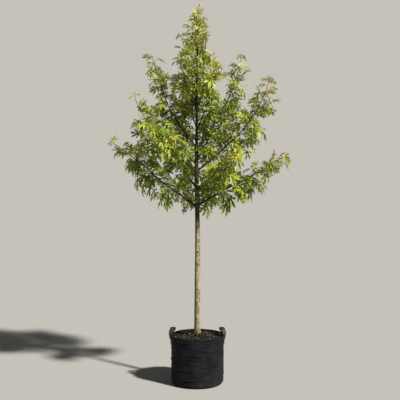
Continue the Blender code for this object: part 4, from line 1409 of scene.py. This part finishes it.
def build_chips():
    """Bark chips and crumbs strewn over the compost."""
    rng = random.Random(23)
    b = Build()
    box = np.array([[x, y, z] for x in (-1, 1) for y in (-1, 1) for z in (-1, 1)], float)
    quads = np.array([[0, 1, 3, 2], [4, 6, 7, 5], [0, 4, 5, 1], [2, 3, 7, 6], [0, 2, 6, 4], [1, 5, 7, 3]])
    r_out = POT_RADIUS - 0.008
    for i in range(2300):
        big = i < 900
        length = rng.uniform(0.006, 0.019) if big else rng.uniform(0.002, 0.006)
        r = (r_out - length * 0.6) * math.sqrt(rng.random())
        if r < 0.031:
            continue
        a = rng.uniform(0, 2 * math.pi)
        x, y = r * math.cos(a), r * math.sin(a)
        p = Vector((x, y, 0))
        z = soil_height(r) + 0.0042 * noise.noise(p * 26) + 0.0030 * noise.noise(p * 70 + Vector((3, 1, 2)))
        width, thick = length * rng.uniform(0.35, 0.7), length * rng.uniform(0.14, 0.30)
        size = np.array([length / 2, width / 2, thick / 2])
        shape = box * size
        shape[:, 0] *= 1 - 0.25 * (shape[:, 1] > 0) * rng.random()
        shape += np.array([[rng.uniform(-0.14, 0.14) for _ in range(3)] for _ in range(8)]) * length * np.array([1.0, 0.5, 0.35])
        turn = (
            Matrix.Rotation(rng.uniform(0, 6.28), 3, "Z")
            @ Matrix.Rotation(rng.gauss(0, 0.35), 3, "X")
            @ Matrix.Rotation(rng.gauss(0, 0.30), 3, "Y")
        )
        verts = shape @ np.array(turn).T + np.array([x, y, z + thick * 0.35 + rng.uniform(0, 0.0025)])
        tone = rng.choices((0, 1, 2, 3), (6, 5, 1.2, 2))[0]
        b.add(verts, [quads], tone)
    tones = [
        plain("bark_chip_dark", srgb(24, 19, 15), 0.85, 0.2), plain("bark_chip_brown", srgb(46, 37, 30), 0.85, 0.2),
        plain("bark_chip_tan", srgb(136, 128, 114), 0.9, 0.2), plain("bark_chip_grey", srgb(80, 76, 70), 0.9, 0.2),
    ]
    return b.mesh("bark_chips", tones, smooth=False)


# ================================================================ assembly
def piece(name, mesh, slot, *nodes):
    obj = add_object(name, mesh)
    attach(obj, "root")
    if nodes:
        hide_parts(*nodes)
    return obj


def main():
    build_stage()

    piece("bark_stem", bark_stem(), "stem_bark", "stem")
    pores = Build()
    lenticels(pores)
    piece("lenticels", pores.mesh("lenticels", [plain("lenticel", srgb(198, 190, 160), 0.85, 0.2)]), "stem_bark")
    cores = Build()
    knot_cores(cores)
    piece("pruning_scars", cores.mesh("pruning_scars", [plain("dead_wood", srgb(30, 24, 15), 0.9, 0.1)]), "stem_bark")

    masses = {n: Mass(n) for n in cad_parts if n.startswith("leaves_")}
    bark, twigs, stalks = Build(), Build(), Build()
    for i, (name, spec) in enumerate(BOUGHS.items()):
        grow_bough(name, spec, i + 1, bark, twigs, stalks, masses)
    grow_leader(twigs, stalks, masses)
    grow_spurs(twigs, stalks, masses)
    grow_fills(twigs, stalks, masses)
    piece("bark_boughs", bark.mesh("bark_boughs", [bough_material()]), "twig_bark", *["bough_" + n for n in BOUGHS])
    piece("twigs", twigs.mesh("twigs", [plain("twig_brown", srgb(74, 52, 36), 0.6), plain("twig_green", srgb(124, 112, 56), 0.55)]), "twig_bark")
    piece("petioles", stalks.mesh("petioles", [plain("petiole_green", srgb(136, 144, 66), 0.5), plain("petiole_red", srgb(150, 92, 58), 0.5)]), "leaves")
    mats = leaf_materials()
    total = 0
    for node, mass in masses.items():
        name = "foliage_" + node[len("leaves_"):]
        piece(name, mass.leaves.mesh(name, mats, smooth=False), "leaves", node)
        total += mass.count
    print("leaves", total, {n: m.count for n, m in masses.items()})

    piece("woven_planter", build_pot(), "black_weave", "pot")
    stitches = Build()
    build_hem_stitches(stitches)
    webbing = webbing_material()
    for name, side in (("handle_left", -1), ("handle_right", 1)):
        obj = build_handle(name + "_webbing", side, webbing, stitches)
        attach(obj, "root")
        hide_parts(name)
    piece("stitching", stitches.mesh("stitching", [plain("thread", srgb(56, 57, 58), 0.5)]), "webbing")
    piece("compost", build_soil(), "compost", "soil")
    piece("bark_chips", build_chips(), "compost")


main()
tris = {o.name: sum(len(p.vertices) - 2 for p in o.data.polygons) for o in bpy.data.objects if o.type == "MESH" and not o.hide_render}
print("triangles", sum(tris.values()), tris)
